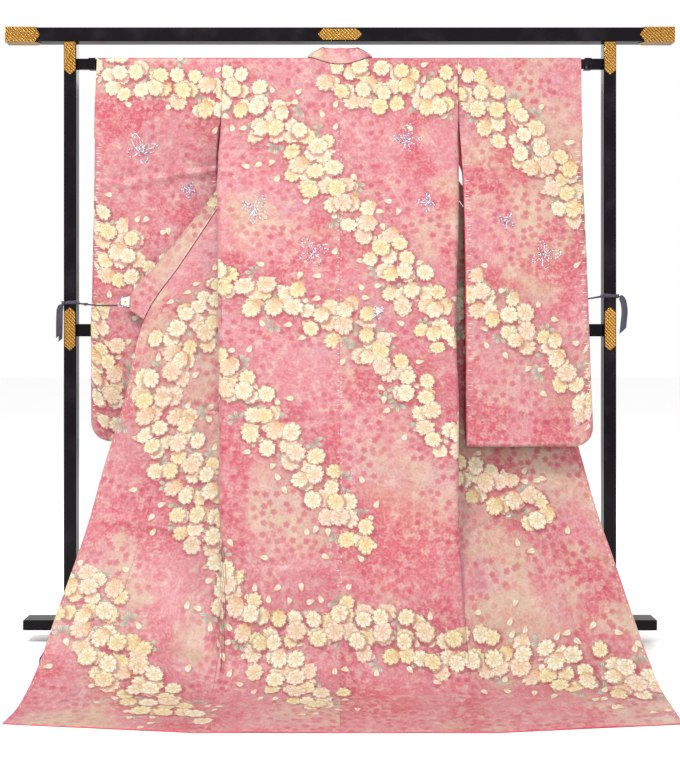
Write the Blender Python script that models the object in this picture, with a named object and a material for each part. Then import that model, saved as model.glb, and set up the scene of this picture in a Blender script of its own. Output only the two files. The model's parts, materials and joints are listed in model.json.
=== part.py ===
"""A wedding kimono hung from a lacquered stand, seen from its back, with its fronts tied open.

Metres, +Z up, +X to the right of someone who looks at the back of the garment, +Y away from them.
The origin is on the floor, in the middle of everything. Cloth sizes are given as for a garment laid
flat: v is measured down the cloth from the shoulder fold, and u across it.
"""

from math import cos, pi, sin, sqrt

import bmesh
import bpy
from mathutils import Vector

# ---- Cloth ----
LENGTH = 1.94  # shoulder fold to hem
WALL = 0.002  # lined silk
COLLAR_WALL = 0.004  # the collar is folded double
SEAM = 0.0003  # space between two pieces at a seam
BACK_HALF = 0.320  # centre back seam to side seam
FRONT_WIDTH = 0.262  # side seam to okumi seam
OKUMI_WIDTH = 0.143
NECK_HALF = 0.088
NECK_DROP = 0.028  # how far the back of the neck is cut below the shoulder fold
SLEEVE_SEAM = 0.158  # how far down the sleeve is sewn to the body
SLIT_END = 0.292  # the side seam starts here, below the open slit
COLLAR_END = 0.800  # where the collar ends on the front edge
SLEEVE_LENGTH = 1.045
WRIST = 0.230  # open length of the sleeve's outer edge, from the shoulder fold
SLEEVE_DEPTH = 0.012  # half the space that one sleeve takes up from face to face
SLEEVE_CORNER = 0.055

# ---- How the cloth falls ----
SHOULDER_Z = 1.5895
ROD_TURN = 0.0125  # radius of the shoulder fold round the rod
FALL_FORWARD = 0.448  # from the rod to where the back would meet the floor
FALL_POWER = 1.8
FLOOR_BEND = 0.11
LEFT, RIGHT = -1, 1

# ---- Stand ----
FOOT_BACK = 0.260
POST_X = 0.733
RAIL_LENGTH = 1.815
RAIL_TALL, RAIL_DEEP = 0.038, 0.040
RAIL_TOP = 1.668
POST_WIDE, POST_DEEP = 0.034, 0.038
ROD_TALL, ROD_DEEP = 0.026, 0.014
ROD_REACH = 0.7155
MID_RAIL_Z, MID_RAIL_TALL, MID_RAIL_DEEP = 0.846, 0.034, 0.022
BASE_LENGTH, BASE_TALL, BASE_DEEP = 1.715, 0.028, 0.064
BASE_BOTTOM = 0.034
FOOT_WIDE, FOOT_TALL, FOOT_END_TALL = 0.044, 0.050, 0.019
FOOT_ARCH = 0.006
PLATE = 0.001
LAP = 0.0003  # space between touching pieces of the stand

BLACK = ((0.010, 0.009, 0.010), 0.18, 0.0)
BRASS = ((0.72, 0.50, 0.17), 0.32, 1.0)
SILK = ((0.80, 0.36, 0.42), 0.55, 0.0)
SATIN = ((0.09, 0.05, 0.13), 0.4, 0.0)
WHITE = ((0.8, 0.8, 0.78), 0.4, 0.0)


def read(rows, at, column):
    """A smooth curve through one column of a table, whose first column is the distance at."""
    last = len(rows) - 1
    k = 0
    while k < last - 1 and at > rows[k + 1][0]:
        k += 1
    x0, x1 = rows[k][0], rows[k + 1][0]
    t = min(max((at - x0) / (x1 - x0), 0.0), 1.0)

    def slope(i):
        low, high = max(i - 1, 0), min(i + 1, last)
        return (rows[high][column] - rows[low][column]) / (rows[high][0] - rows[low][0])

    y0, y1, m0, m1 = rows[k][column], rows[k + 1][column], slope(k), slope(k + 1)
    h = x1 - x0
    return (
        y0 * (1 + 2 * t) * (1 - t) ** 2
        + y1 * t * t * (3 - 2 * t)
        + h * m0 * t * (1 - t) ** 2
        - h * m1 * t * t * (1 - t)
    )


def ease(low, high, value):
    t = min(max((value - low) / (high - low), 0.0), 1.0)
    return t * t * (3 - 2 * t)


def mix(a, b, t):
    return a + (b - a) * t


# ---- The fall of the cloth: every place below is (out from the centre, forward of the rod, up) ----
def fall_profile():
    """The centre back from the shoulder fold to the hem, as (length so far, forward, up)."""
    path = []
    for k in range(7):
        turn = k / 6 * pi / 2
        path.append((ROD_TURN * sin(turn), SHOULDER_Z - ROD_TURN * (1 - cos(turn))))
    top = SHOULDER_Z - ROD_TURN

    def slope_at(height):
        return ROD_TURN + FALL_FORWARD * (1 - height / top) ** FALL_POWER

    bend_top = FLOOR_BEND * 0.8
    for k in range(1, 41):
        height = mix(top, bend_top, k / 40)
        path.append((slope_at(height), height))
    start = path[-1]
    contact = slope_at(0.0)
    for k in range(1, 9):
        t = k / 8
        forward = (1 - t) ** 2 * start[0] + 2 * t * (1 - t) * contact + t * t * (contact + FLOOR_BEND)
        path.append((forward, (1 - t) ** 2 * start[1] + t * t * WALL))
    path.append((contact + 1.0, WALL))
    rows = [(0.0, *path[0])]
    for a, b in zip(path, path[1:]):
        rows.append((rows[-1][0] + sqrt((b[0] - a[0]) ** 2 + (b[1] - a[1]) ** 2), *b))
    return rows


FALL = fall_profile()


def fall(v):
    """Forward and up of the centre back at v."""
    k = 1
    while k < len(FALL) - 1 and FALL[k][0] < v:
        k += 1
    a, b = FALL[k - 1], FALL[k]
    t = (v - a[0]) / (b[0] - a[0])
    return mix(a[1], b[1], t), mix(a[2], b[2], t)


# The body's side: v, how far out it reaches, and how much of a half turn the back panel has made
# there on its way round to the front.
SIDE = {
    LEFT: (
        (0.00, 0.3200, 0.00),
        (0.16, 0.3215, 0.00),
        (0.30, 0.3310, 1.00),
        (0.60, 0.3260, 1.00),
        (0.95, 0.3120, 1.00),
        (1.25, 0.2990, 0.95),
        (1.50, 0.2900, 0.55),
        (1.72, 0.2950, 0.08),
        (1.80, 0.3000, 0.00),
        (1.94, 0.3040, 0.00),
    ),
    RIGHT: (
        (0.00, 0.3200, 0.00),
        (0.16, 0.3205, 0.00),
        (0.30, 0.3220, 1.00),
        (0.60, 0.3120, 1.00),
        (0.75, 0.3040, 1.00),
        (0.95, 0.3070, 1.00),
        (1.25, 0.2950, 0.95),
        (1.50, 0.3010, 0.50),
        (1.72, 0.3120, 0.08),
        (1.80, 0.3180, 0.00),
        (1.94, 0.3270, 0.00),
    ),
}
SIDE_RADIUS = 0.0135  # of the turn at the side
SLIT_OPEN = 0.022  # how far the slit between front and back gapes

# Front edge, first as the collar's seam and then free: v, out, forward, up. On the floor it is as
# high as the wall is thick.
FRONT_EDGE = {
    LEFT: (
        (0.020, 0.0830, -0.0240, 1.5830),
        (0.050, 0.0890, -0.0480, 1.5580),
        (0.100, 0.1240, -0.0620, 1.5060),
        (0.200, 0.2000, -0.0660, 1.3980),
        (0.300, 0.2560, -0.0560, 1.3040),
        (0.420, 0.3240, -0.0200, 1.1960),
        (0.600, 0.4240, 0.0280, 1.0330),
        (0.800, 0.5240, 0.0620, 0.8730),
        (1.000, 0.5720, 0.1100, 0.6480),
        (1.165, 0.6130, 0.1600, 0.4910),
        (1.320, 0.6430, 0.2200, 0.3475),
        (1.475, 0.6750, 0.3000, 0.2170),
        (1.560, 0.6877, 0.3600, 0.1547),
        (1.680, 0.7040, 0.4450, 0.0660),
        (1.760, 0.7130, 0.5180, 0.0230),
        (1.850, 0.7170, 0.6050, 0.0030),
        (1.940, 0.7230, 0.6920, 0.0020),
    ),
    RIGHT: (
        (0.020, 0.0830, -0.0240, 1.5830),
        (0.050, 0.0890, -0.0480, 1.5580),
        (0.100, 0.1250, -0.0630, 1.5060),
        (0.200, 0.2030, -0.0700, 1.3990),
        (0.300, 0.2610, -0.0640, 1.3070),
        (0.420, 0.3320, -0.0440, 1.2000),
        (0.600, 0.4420, -0.0080, 1.0440),
        (0.800, 0.5540, 0.0340, 0.8900),
        (1.000, 0.6020, 0.0520, 0.6840),
        (1.100, 0.6234, 0.0760, 0.5830),
        (1.225, 0.6480, 0.1250, 0.4640),
        (1.335, 0.6700, 0.1800, 0.3590),
        (1.450, 0.6930, 0.2500, 0.2617),
        (1.580, 0.7110, 0.3400, 0.1600),
        (1.690, 0.7250, 0.4350, 0.0720),
        (1.770, 0.7330, 0.5100, 0.0240),
        (1.850, 0.7390, 0.5950, 0.0030),
        (1.940, 0.7340, 0.6940, 0.0020),
    ),
}


def front_width(v):
    """Flat width of the front from the side seam to its edge, okumi and all."""
    full = FRONT_WIDTH + OKUMI_WIDTH
    return mix(BACK_HALF - NECK_HALF, full, min(v / COLLAR_END, 1.0))


def over_rod(v):
    """Forward and up of the front near the shoulder fold, down the far side of the rod."""
    turn = min(v / ROD_TURN, pi / 2)
    down = max(v - ROD_TURN * pi / 2, 0.0)
    return -ROD_TURN * sin(turn), SHOULDER_Z - ROD_TURN * (1 - cos(turn)) - down


def front_edge(side, v):
    rows = FRONT_EDGE[side]
    first = rows[0]
    if v >= first[0]:
        return tuple(read(rows, v, column) for column in (1, 2, 3))
    forward, up = over_rod(v)
    share = v / first[0]
    return mix(NECK_HALF, first[1], share), mix(forward, first[2], share**3), mix(up, first[3], share**3)


def side_turn(side, v):
    """How far the body's side reaches at v, and the angle that the cloth has turned through there."""
    rows = SIDE[side]
    return read(rows, v, 1), min(max(read(rows, v, 2), 0.0), 1.0) * pi


def back_place(side, u, v):
    """A place on the back panel, whose side edge turns away round the body."""
    forward, up = fall(v)
    reach, turn = side_turn(side, v)
    flat, round_part = reach - SIDE_RADIUS * sin(min(turn, pi / 2)), SIDE_RADIUS * turn
    flat_cut = BACK_HALF - round_part
    if u <= flat_cut:
        return u * flat / flat_cut, forward, up
    angle = (u - flat_cut) / SIDE_RADIUS
    return flat + SIDE_RADIUS * sin(angle), forward - SIDE_RADIUS * (1 - cos(angle)), up


def front_side(side, v):
    """Where the front's side edge lies and the angle at which the cloth leaves it.

    It hangs behind the rod as far as the slit, and on the side seam below that.
    """
    out, forward, up = back_place(side, BACK_HALF, v)
    behind, high = over_rod(v)
    shut = ease(SLEEVE_SEAM, SLIT_END, v)
    angle = pi if v < SLIT_END else side_turn(side, v)[1]
    forward = mix(behind, forward, shut) - SLIT_OPEN * 4 * shut * (1 - shut)
    return (out, forward, mix(high, up, shut)), angle


SECTION_STEPS = 48
FOLD_START = 0.03  # how soon the cloth turns where it leaves a flat seam
FOLD_LEAN = 0.05  # how much the near side of the hanging fold leans out


def section(side, v):
    """The front's level section from its side edge to its front edge.

    It leaves the side edge inward, turns back in one deep hanging fold, and comes out again to the
    front edge. The fold is as deep as the cloth's flat width asks for.
    """
    (start, angle), end = front_side(side, v), front_edge(side, v)
    wide = front_width(v)
    inmost = min(start[0], end[0])

    def points(pull):
        """Up to 1 the pull bows the cloth; past 1 it also draws the fold inward."""
        bow, deep = min(pull, 1.0), max(pull - 1.0, 0.0)
        leave = bow * (start[0] - inmost) + deep + bow * FOLD_START * (1 + cos(angle)) / 2
        arrive = bow * (end[0] - inmost) + deep
        first = (start[0] + leave * cos(angle), start[1] - leave * sin(angle) + FOLD_LEAN * deep)
        second = (end[0] - arrive, end[1] - 2 * FOLD_LEAN * deep)
        row = []
        for k in range(SECTION_STEPS + 1):
            t = k / SECTION_STEPS
            a, b, c, d = (1 - t) ** 3, 3 * t * (1 - t) ** 2, 3 * t * t * (1 - t), t**3
            row.append(tuple(a * start[i] + b * first[i] + c * second[i] + d * end[i] for i in (0, 1)))
        return row

    def lengths(row):
        total = [0.0]
        for p, q in zip(row, row[1:]):
            total.append(total[-1] + sqrt((p[0] - q[0]) ** 2 + (p[1] - q[1]) ** 2))
        return total

    low, high = 0.0, 1.6
    for _ in range(24):
        pull = (low + high) / 2
        if lengths(points(pull))[-1] > wide:
            high = pull
        else:
            low = pull
    row = points(low)
    return row, lengths(row), start[2], end[2]


SECTIONS = {}


def front_place(side, across, v):
    """A place on the front, across from the side edge."""
    key = (side, round(v, 6))
    if key not in SECTIONS:
        SECTIONS[key] = section(side, v)
    row, length, up_side, up_edge = SECTIONS[key]
    share = across / front_width(v)
    want = share * length[-1]
    k = 1
    while k < len(row) - 1 and length[k] < want:
        k += 1
    t = (want - length[k - 1]) / max(length[k] - length[k - 1], 1e-9)
    up = mix(up_side, up_edge, ease(0.0, 1.0, share))
    return mix(row[k - 1][0], row[k][0], t), mix(row[k - 1][1], row[k][1], t), up


def world(side, place):
    """A place on the cloth or the stand, in the part's own frame."""
    out, forward, up = place
    return Vector((side * out, STAND_Y - forward, up))


def body_point(side, u, v):
    """u runs from the centre back round the side to the front edge."""
    if u <= BACK_HALF:
        return world(side, back_place(side, u, v))
    return world(side, front_place(side, u - BACK_HALF, v))


HEM_FORWARD = fall(LENGTH)[0]
STAND_Y = (HEM_FORWARD - FOOT_BACK) / 2


# ---- Walls of cloth ----
STEP = 0.004  # how far apart two places are that give the cloth's direction


def facing(side, point, a, b, a_limits, b_limits):
    """The outward normal of a sheet at (a, b), from its places just before and after."""
    if b < STEP / 4:
        return Vector((0, 0, 1))  # on the shoulder fold
    along_a = point(min(a + STEP, a_limits[1]), b) - point(max(a - STEP, a_limits[0]), b)
    along_b = point(a, min(b + STEP, b_limits[1])) - point(a, max(b - STEP, b_limits[0]))
    return along_b.cross(along_a).normalized() * side


def halves(face, places):
    """A face as triangles, parted along its shorter diagonal, alike on both faces of a wall."""
    if len(face) == 3:
        return [face]
    a, b, c, d = face
    if (places[a] - places[c]).length <= (places[b] - places[d]).length:
        return [(a, b, c), (a, c, d)]
    return [(a, b, d), (b, c, d)]


def wall_object(name, outer, normals, faces, wall, finish):
    """A closed wall of cloth: its outer face, its inner face and the rim round each free edge."""
    inner = [place - normal * wall for place, normal in zip(outer, normals)]
    faces = [half for face in faces for half in halves(face, outer)]
    count = len(outer)
    edges = {}
    for face in faces:
        for a, b in zip(face, face[1:] + face[:1]):
            edges[(a, b)] = edges.get((a, b), 0) + 1
    rim = [(b, a, a + count, b + count) for a, b in edges if (b, a) not in edges]
    back = [tuple(i + count for i in reversed(face)) for face in faces]
    return solid(name, outer + inner, faces + back + rim, finish)


def solid(name, places, faces, finish):
    mesh = bpy.data.meshes.new(name)
    mesh.from_pydata([tuple(p) for p in places], [], faces)
    bm = bmesh.new()
    bm.from_mesh(mesh)
    bmesh.ops.recalc_face_normals(bm, faces=bm.faces)
    if bm.calc_volume(signed=True) < 0:
        bmesh.ops.reverse_faces(bm, faces=bm.faces)
    bm.to_mesh(mesh)
    bm.free()
    mesh.shade_smooth()
    mesh.materials.append(finish)
    thing = bpy.data.objects.new(name, mesh)
    bpy.context.collection.objects.link(thing)
    return thing


def panel(name, side, rows, columns, finish):
    """One flat-cut piece of the body. columns(v) gives the values of u across it."""
    outer, normals = [], []
    across = len(columns(rows[0])) - 1
    for v in rows:
        for u in columns(v):
            limits = (0.0, BACK_HALF + front_width(v))
            if v < SLIT_END:
                limits = (BACK_HALF + 1e-5, limits[1])
            outer.append(body_point(side, u, v))
            normals.append(
                facing(side, lambda a, b: body_point(side, a, b), u, v, limits, (0.0, LENGTH))
            )
    wide = across + 1
    faces = [
        (i * wide + k, i * wide + k + 1, (i + 1) * wide + k + 1, (i + 1) * wide + k)
        for i in range(len(rows) - 1)
        for k in range(across)
    ]
    return wall_object(name, outer, normals, faces, WALL, finish)


def spread(*stops):
    """Rows down the cloth: pairs of a place and how many steps lead to it from the one before."""
    rows = [stops[0][0]]
    for place, steps in stops[1:]:
        first = rows[-1]
        rows += [mix(first, place, k / steps) for k in range(1, steps + 1)]
    return rows


OKUMI_TOP = 0.20
BODY_ROWS = spread(
    (0.0, 0), (0.0196, 3), (0.05, 1), (0.10, 1), (OKUMI_TOP, 2), (0.30, 2), (1.50, 12), (1.84, 8),
    (LENGTH, 1),
)


SIDE_ROUND = BACK_HALF - SIDE_RADIUS * pi
BACK_COLUMNS = (
    [SEAM / 2, 0.032, 0.056, 0.074, NECK_HALF, 0.135, 0.183, 0.230]
    + [mix(SIDE_ROUND, BACK_HALF, k / 5) for k in range(5)]
    + [BACK_HALF - SEAM / 2]
)


def back_panel(side, finish):
    """The top edge dips in the middle, where the neck is cut out."""
    rows = BODY_ROWS
    outer, normals, across = [], [], len(BACK_COLUMNS) - 1
    for v in rows:
        for u in BACK_COLUMNS:
            dip = NECK_DROP * max(1 - (u / NECK_HALF) ** 2, 0.0)
            at = dip + v * (1 - dip / LENGTH) if v < LENGTH else v
            outer.append(body_point(side, u, at))
            limits = (0.0, BACK_HALF) if at < SLIT_END else (0.0, BACK_HALF + 0.1)
            normals.append(
                facing(side, lambda a, b: body_point(side, a, b), u, at, limits, (0.0, LENGTH))
            )
    wide = across + 1
    faces = [
        (i * wide + k, i * wide + k + 1, (i + 1) * wide + k + 1, (i + 1) * wide + k)
        for i in range(len(rows) - 1)
        for k in range(across)
    ]
    return wall_object("back_" + SIDE_NAME[side], outer, normals, faces, WALL, finish)


FOLD_LAST = 1.35  # v below which the hanging fold is too shallow to matter
FOLD_REACH = 0.018


def fold_at(side, v):
    """How far across the front its hanging fold turns."""
    row, length, _, _ = section(side, min(v, FOLD_LAST))
    return min(zip(row, length))[1]


def front_panel(side, finish):
    """Its columns stay together where the hanging fold turns."""
    rows = [max(v, SEAM) for v in BODY_ROWS]

    def columns(v):
        last = min(front_width(v), FRONT_WIDTH) - SEAM / 2
        turn = min(max(fold_at(side, v), 0.030), last - 0.014)
        reach = min(FOLD_REACH, 0.45 * turn, 0.45 * (last - turn))
        stops = spread((SEAM / 2, 0), (turn - reach, 3), (turn + reach, 6), (last, 6))
        return [BACK_HALF + across for across in stops]

    return panel("front_" + SIDE_NAME[side], side, rows, columns, finish)


def okumi_panel(side, finish):
    rows = [v for v in BODY_ROWS if v >= OKUMI_TOP]

    def columns(v):
        stops = spread((FRONT_WIDTH + SEAM / 2, 0), (front_width(v) - SEAM / 2, 4))
        return [BACK_HALF + across for across in stops]

    return panel("okumi_" + SIDE_NAME[side], side, rows, columns, finish)


SIDE_NAME = {LEFT: "left", RIGHT: "right"}

# The collar's free edge as seen from its seam: v from the shoulder (below zero round the back of the
# neck, where -1 is the middle), direction out, forward and up, and the band's width.
COLLAR_LEAN = (
    (-1.00, 0.00, -0.10, 0.99, 0.046),
    (-0.50, -0.14, -0.24, 0.82, 0.042),
    (0.00, -0.74, -0.26, 0.56, 0.032),
    (0.05, -0.30, -0.85, 0.22, 0.036),
    (0.10, 0.25, -0.93, 0.25, 0.040),
    (0.20, 0.75, -0.45, 0.46, 0.038),
    (0.30, 0.83, -0.15, 0.54, 0.034),
    (0.42, 0.82, 0.00, 0.57, 0.032),
    (0.60, 0.82, 0.02, 0.57, 0.048),
    (0.80, 0.82, 0.04, 0.57, 0.066),
)


def collar_seam(side, v):
    """Seam of the collar, down the front edge or round the back of the neck."""
    if v >= 0:
        return front_edge(side, v)
    out = NECK_HALF * (1 + v)
    forward, up = fall(NECK_DROP * (1 - (out / NECK_HALF) ** 2))
    return out, forward, up


def collar_place(side, v, across):
    """A place on the collar, from 0 at its seam to 1 at its free edge."""
    out, forward, up = collar_seam(side, v)
    lean = [read(COLLAR_LEAN, v, column) for column in (1, 2, 3)]
    size = sqrt(sum(x * x for x in lean))
    gap = COLLAR_GAP * (1 + 0.8 * max(1 - abs(v - 0.06) / 0.12, 0.0))
    reach = (gap + across * read(COLLAR_LEAN, v, 4)) / size
    rise = 4 * across * (1 - across) * NECK_RISE * max(1 - abs(v + 0.1) / 0.45, 0.0)
    return out + lean[0] * reach, forward + lean[1] * reach, up + lean[2] * reach + rise


COLLAR_GAP = 0.0024
NECK_RISE = 0.005  # how much the collar arches where it crosses the rod


def collar(finish):
    """One band from the left collar end, round the back of the neck, to the right one."""
    half = spread((-1.0, 0), (0.0, 6)) + [v for v in BODY_ROWS if 0 < v < COLLAR_END + SEAM]
    stations = [(LEFT, v) for v in reversed(half)] + [(RIGHT, v) for v in half[1:]]
    wide = 3
    places = [
        [world(side, collar_place(side, v, k / wide)) for k in range(wide + 1)] for side, v in stations
    ]
    outer, normals = [], []
    last = len(places) - 1
    for i, row in enumerate(places):
        for k in range(wide + 1):
            along = places[min(i + 1, last)][k] - places[max(i - 1, 0)][k]
            normals.append((row[wide] - row[0]).cross(along).normalized())
            outer.append(row[k] + normals[-1] * COLLAR_WALL / 2)
    faces = [
        (first + k, first + k + 1, first + wide + k + 2, first + wide + k + 1)
        for first in range(0, last * (wide + 1), wide + 1)
        for k in range(wide)
    ]
    return wall_object("collar", outer, normals, faces, COLLAR_WALL, finish)


# How far a sleeve swings forward: height, at its inner edge, at its outer edge.
SLEEVE_SWING = {
    LEFT: (
        (0.545, 0.030, 0.024),
        (0.860, 0.027, 0.027),
        (0.940, 0.006, 0.014),
        (1.040, -0.024, 0.006),
        (1.200, -0.062, 0.000),
        (1.431, 0.000, 0.000),
        (1.590, 0.000, 0.000),
    ),
    RIGHT: (
        (0.545, 0.168, 0.158),
        (0.600, 0.140, 0.134),
        (0.900, 0.082, 0.078),
        (1.180, 0.032, 0.030),
        (1.431, 0.000, 0.000),
        (1.590, 0.000, 0.000),
    ),
}
# A sleeve's edges: height, inner edge, outer edge.
SLEEVE_EDGES = {
    LEFT: (
        (0.545, 0.3400, 0.6740),
        (1.000, 0.3390, 0.6740),
        (1.330, 0.3380, 0.6700),
        (1.431, 0.3270, 0.6680),
        (1.590, 0.3203, 0.6610),
    ),
    RIGHT: (
        (0.545, 0.3300, 0.6620),
        (1.000, 0.3290, 0.6620),
        (1.431, 0.3230, 0.6580),
        (1.590, 0.3203, 0.6560),
    ),
}
SLEEVE_BOTTOM = SHOULDER_Z - SLEEVE_LENGTH


def sleeve_loop():
    """One turn round a sleeve: share of the way down and which face, from the top round the front."""
    down = [0.0, 0.30, 0.75, 1.0]
    turn = [(ROD_TURN * (1 - cos(t * pi / 2)) / SLEEVE_LENGTH, sin(t * pi / 2)) for t in down]
    hang = [(mix(turn[-1][0], 1 - SLEEVE_DEPTH / SLEEVE_LENGTH, k / 14), 1.0) for k in range(1, 15)]
    foot = [
        (1 - SLEEVE_DEPTH / SLEEVE_LENGTH * (1 - sin(t * pi / 2)), cos(t * pi / 2)) for t in (0.4, 0.75, 1.0)
    ]
    front = turn + hang + foot
    return front + [(share, -face) for share, face in reversed(front[1:-1])]


def sleeve_place(side, share_down, face, inward):
    """inward is how far the place is from the outer edge, along the sleeve's width."""
    corner = max(SLEEVE_CORNER - inward, 0.0)
    lift = SLEEVE_CORNER - sqrt(max(SLEEVE_CORNER**2 - corner**2, 0.0))
    up = mix(SHOULDER_Z, SLEEVE_BOTTOM + lift, share_down)
    depth = SLEEVE_DEPTH
    if inward < SLEEVE_DEPTH and share_down * SLEEVE_LENGTH > WRIST:
        depth *= sqrt(max(1 - (1 - inward / SLEEVE_DEPTH) ** 2, 0.0))
    inner, outer = (read(SLEEVE_EDGES[side], up, column) for column in (1, 2))
    out = outer - inward
    at = (out - inner) / (outer - inner)
    swing = mix(read(SLEEVE_SWING[side], up, 1), read(SLEEVE_SWING[side], up, 2), at)
    return out, swing + face * depth, up


SLEEVE_EDGE = (0.0, 0.0016, 0.006, SLEEVE_DEPTH, 0.026, 0.040, SLEEVE_CORNER)  # inward, at the corner
SLEEVE_ACROSS = 5  # rings from there to the inner edge


def sleeve_rings(side):
    """Places round the sleeve, ring by ring from its outer edge to its inner one."""
    rings = [[sleeve_place(side, *turn, inward) for turn in sleeve_loop()] for inward in SLEEVE_EDGE]
    for k in range(1, SLEEVE_ACROSS + 1):
        ring = []
        for share, face in sleeve_loop():
            up = mix(SHOULDER_Z, SLEEVE_BOTTOM, share)
            inner, outer = (read(SLEEVE_EDGES[side], up, column) for column in (1, 2))
            inward = mix(SLEEVE_CORNER, outer - inner, k / SLEEVE_ACROSS)
            ring.append(sleeve_place(side, share, face, inward))
        rings.append(ring)
    return [[world(side, place) for place in ring] for ring in rings]


def sleeve(side, finish):
    """A hanging bag, open along its inner edge and at the wrist."""
    places, ids, keys = [], [], {}
    for ring in sleeve_rings(side):
        ids.append([])
        for place in ring:
            key = tuple(round(x, 7) for x in place)
            if key not in keys:
                keys[key] = len(places)
                places.append(place)
            ids[-1].append(keys[key])
    count = len(ids[0])
    faces = []
    for here, there in zip(ids, ids[1:]):
        for i in range(count):
            n = (i + 1) % count
            face = []
            for index in (here[i], here[n], there[n], there[i]):
                if index not in face:
                    face.append(index)  # the shut edge joins front and back, and leaves triangles
            if len(face) > 2:
                faces.append(tuple(face))
    normals = smooth_normals(places, faces)
    return wall_object("sleeve_" + SIDE_NAME[side], places, normals, faces, WALL, finish)


def smooth_normals(places, faces):
    """Normals of a sheet of faces at its places, pointing out of the sleeve."""
    mesh = bpy.data.meshes.new("scratch")
    mesh.from_pydata([tuple(p) for p in places], [], faces)
    bm = bmesh.new()
    bm.from_mesh(mesh)
    bmesh.ops.recalc_face_normals(bm, faces=bm.faces)
    bm.normal_update()
    normals = [vert.normal.copy() for vert in bm.verts]
    middle = sum(places, Vector()) / len(places)
    outward = sum((p - middle).dot(n) for p, n in zip(places, normals))
    bm.free()
    bpy.data.meshes.remove(mesh)
    return normals if outward > 0 else [-n for n in normals]


# ---- The stand ----
def material(name, look):
    """look is (colour, roughness, metallic)."""
    colour, roughness, metallic = look
    made = bpy.data.materials.new(name)
    made.use_nodes = True
    shader = made.node_tree.nodes["Principled BSDF"]
    shader.inputs["Base Color"].default_value = (*colour, 1)
    shader.inputs["Roughness"].default_value = roughness
    shader.inputs["Metallic"].default_value = metallic
    return made


def extruded(name, outline, plane, low, high, finish):
    """A flat outline pushed along the third axis. plane is "xz" or "yz"."""
    def place(a, b, depth):
        return (a, depth, b) if plane == "xz" else (depth, a, b)

    count = len(outline)
    places = [place(a, b, low) for a, b in outline] + [place(a, b, high) for a, b in outline]
    sides = [(i, (i + 1) % count, (i + 1) % count + count, i + count) for i in range(count)]
    ends = [tuple(reversed(range(count))), tuple(range(count, 2 * count))]
    thing = solid(name, places, sides + ends, finish)
    thing.data.shade_flat()
    return thing


def bar(name, centre, size, finish, bevel=0.0015):
    """A squared timber with eased edges."""
    mesh = bpy.data.meshes.new(name)
    bm = bmesh.new()
    bmesh.ops.create_cube(bm, size=1.0)
    bmesh.ops.scale(bm, vec=size, verts=bm.verts)
    bmesh.ops.translate(bm, vec=centre, verts=bm.verts)
    bmesh.ops.bevel(bm, geom=bm.edges[:], offset=bevel, segments=1, affect="EDGES")
    bm.to_mesh(mesh)
    bm.free()
    mesh.materials.append(finish)
    thing = bpy.data.objects.new(name, mesh)
    bpy.context.collection.objects.link(thing)
    return thing


def stand(black):
    rail_z = RAIL_TOP - RAIL_TALL / 2
    bar("top_rail", (0, STAND_Y, rail_z), (RAIL_LENGTH, RAIL_DEEP, RAIL_TALL), black)
    base_z = BASE_BOTTOM + BASE_TALL / 2
    bar("base_rail", (0, STAND_Y, base_z), (BASE_LENGTH, BASE_DEEP, BASE_TALL), black)
    post_low, post_high = BASE_BOTTOM + BASE_TALL + LAP, RAIL_TOP - RAIL_TALL - LAP
    between = 2 * (POST_X - POST_WIDE / 2 - LAP)
    bar("mid_rail", (0, STAND_Y, MID_RAIL_Z), (between, MID_RAIL_DEEP, MID_RAIL_TALL), black)
    for side in (LEFT, RIGHT):
        bar(
            "post_" + SIDE_NAME[side],
            (side * POST_X, STAND_Y, (post_low + post_high) / 2),
            (POST_WIDE, POST_DEEP, post_high - post_low),
            black,
        )
        foot(side, black)
    sleeve_rod(black, between / 2)


def sleeve_rod(black, reach):
    """A flat telescoping rod: thicker outer sleeves at both ends of a slimmer middle."""
    chamfer = 0.0030
    top = SHOULDER_Z - WALL - 0.0022

    def ring(x, deep, tall, high):
        low, half = high - tall, deep / 2
        outline = [
            (-half, low + chamfer), (-half + chamfer, low),
            (half - chamfer, low), (half, low + chamfer),
            (half, high - chamfer), (half - chamfer, high),
            (-half + chamfer, high), (-half, high - chamfer),
        ]
        return [(x, STAND_Y + y, z) for y, z in outline]

    step = reach - 0.032
    thick, slim = (ROD_DEEP + 0.003, ROD_TALL + 0.003, top + 0.001), (ROD_DEEP, ROD_TALL, top)
    rings = [ring(-reach, *thick), ring(-step, *thick), ring(-step + 0.001, *slim)]
    rings += [ring(step - 0.001, *slim), ring(step, *thick), ring(reach, *thick)]
    places = [p for one in rings for p in one]
    faces = [
        (8 * j + i, 8 * j + (i + 1) % 8, 8 * j + 8 + (i + 1) % 8, 8 * j + 8 + i)
        for j in range(len(rings) - 1)
        for i in range(8)
    ]
    faces += [tuple(reversed(range(8))), tuple(range(len(places) - 8, len(places)))]
    solid("sleeve_rod", places, faces, black).data.shade_flat()


def foot(side, black):
    """A foot from front to back, notched for the base rail, its top falling away to both ends."""
    notch, seat = BASE_DEEP / 2 + LAP, BASE_BOTTOM - LAP
    pad, crown = 0.060, 0.065
    half = [
        (0.0, seat), (notch, seat), (notch, FOOT_TALL), (crown, FOOT_TALL - 0.001),
        (FOOT_BACK - 0.004, FOOT_END_TALL + 0.002), (FOOT_BACK, FOOT_END_TALL - 0.003), (FOOT_BACK, 0.0),
        (FOOT_BACK - pad, 0.0), (FOOT_BACK - pad - 0.015, FOOT_ARCH), (0.0, FOOT_ARCH),
    ]
    outline = half[1:9] + [(-y, z) for y, z in reversed(half[1:9])]
    outline = [(STAND_Y + y, z) for y, z in outline]
    middle = side * POST_X
    extruded(
        "foot_" + SIDE_NAME[side], outline, "yz", middle - FOOT_WIDE / 2, middle + FOOT_WIDE / 2, black
    )


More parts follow.
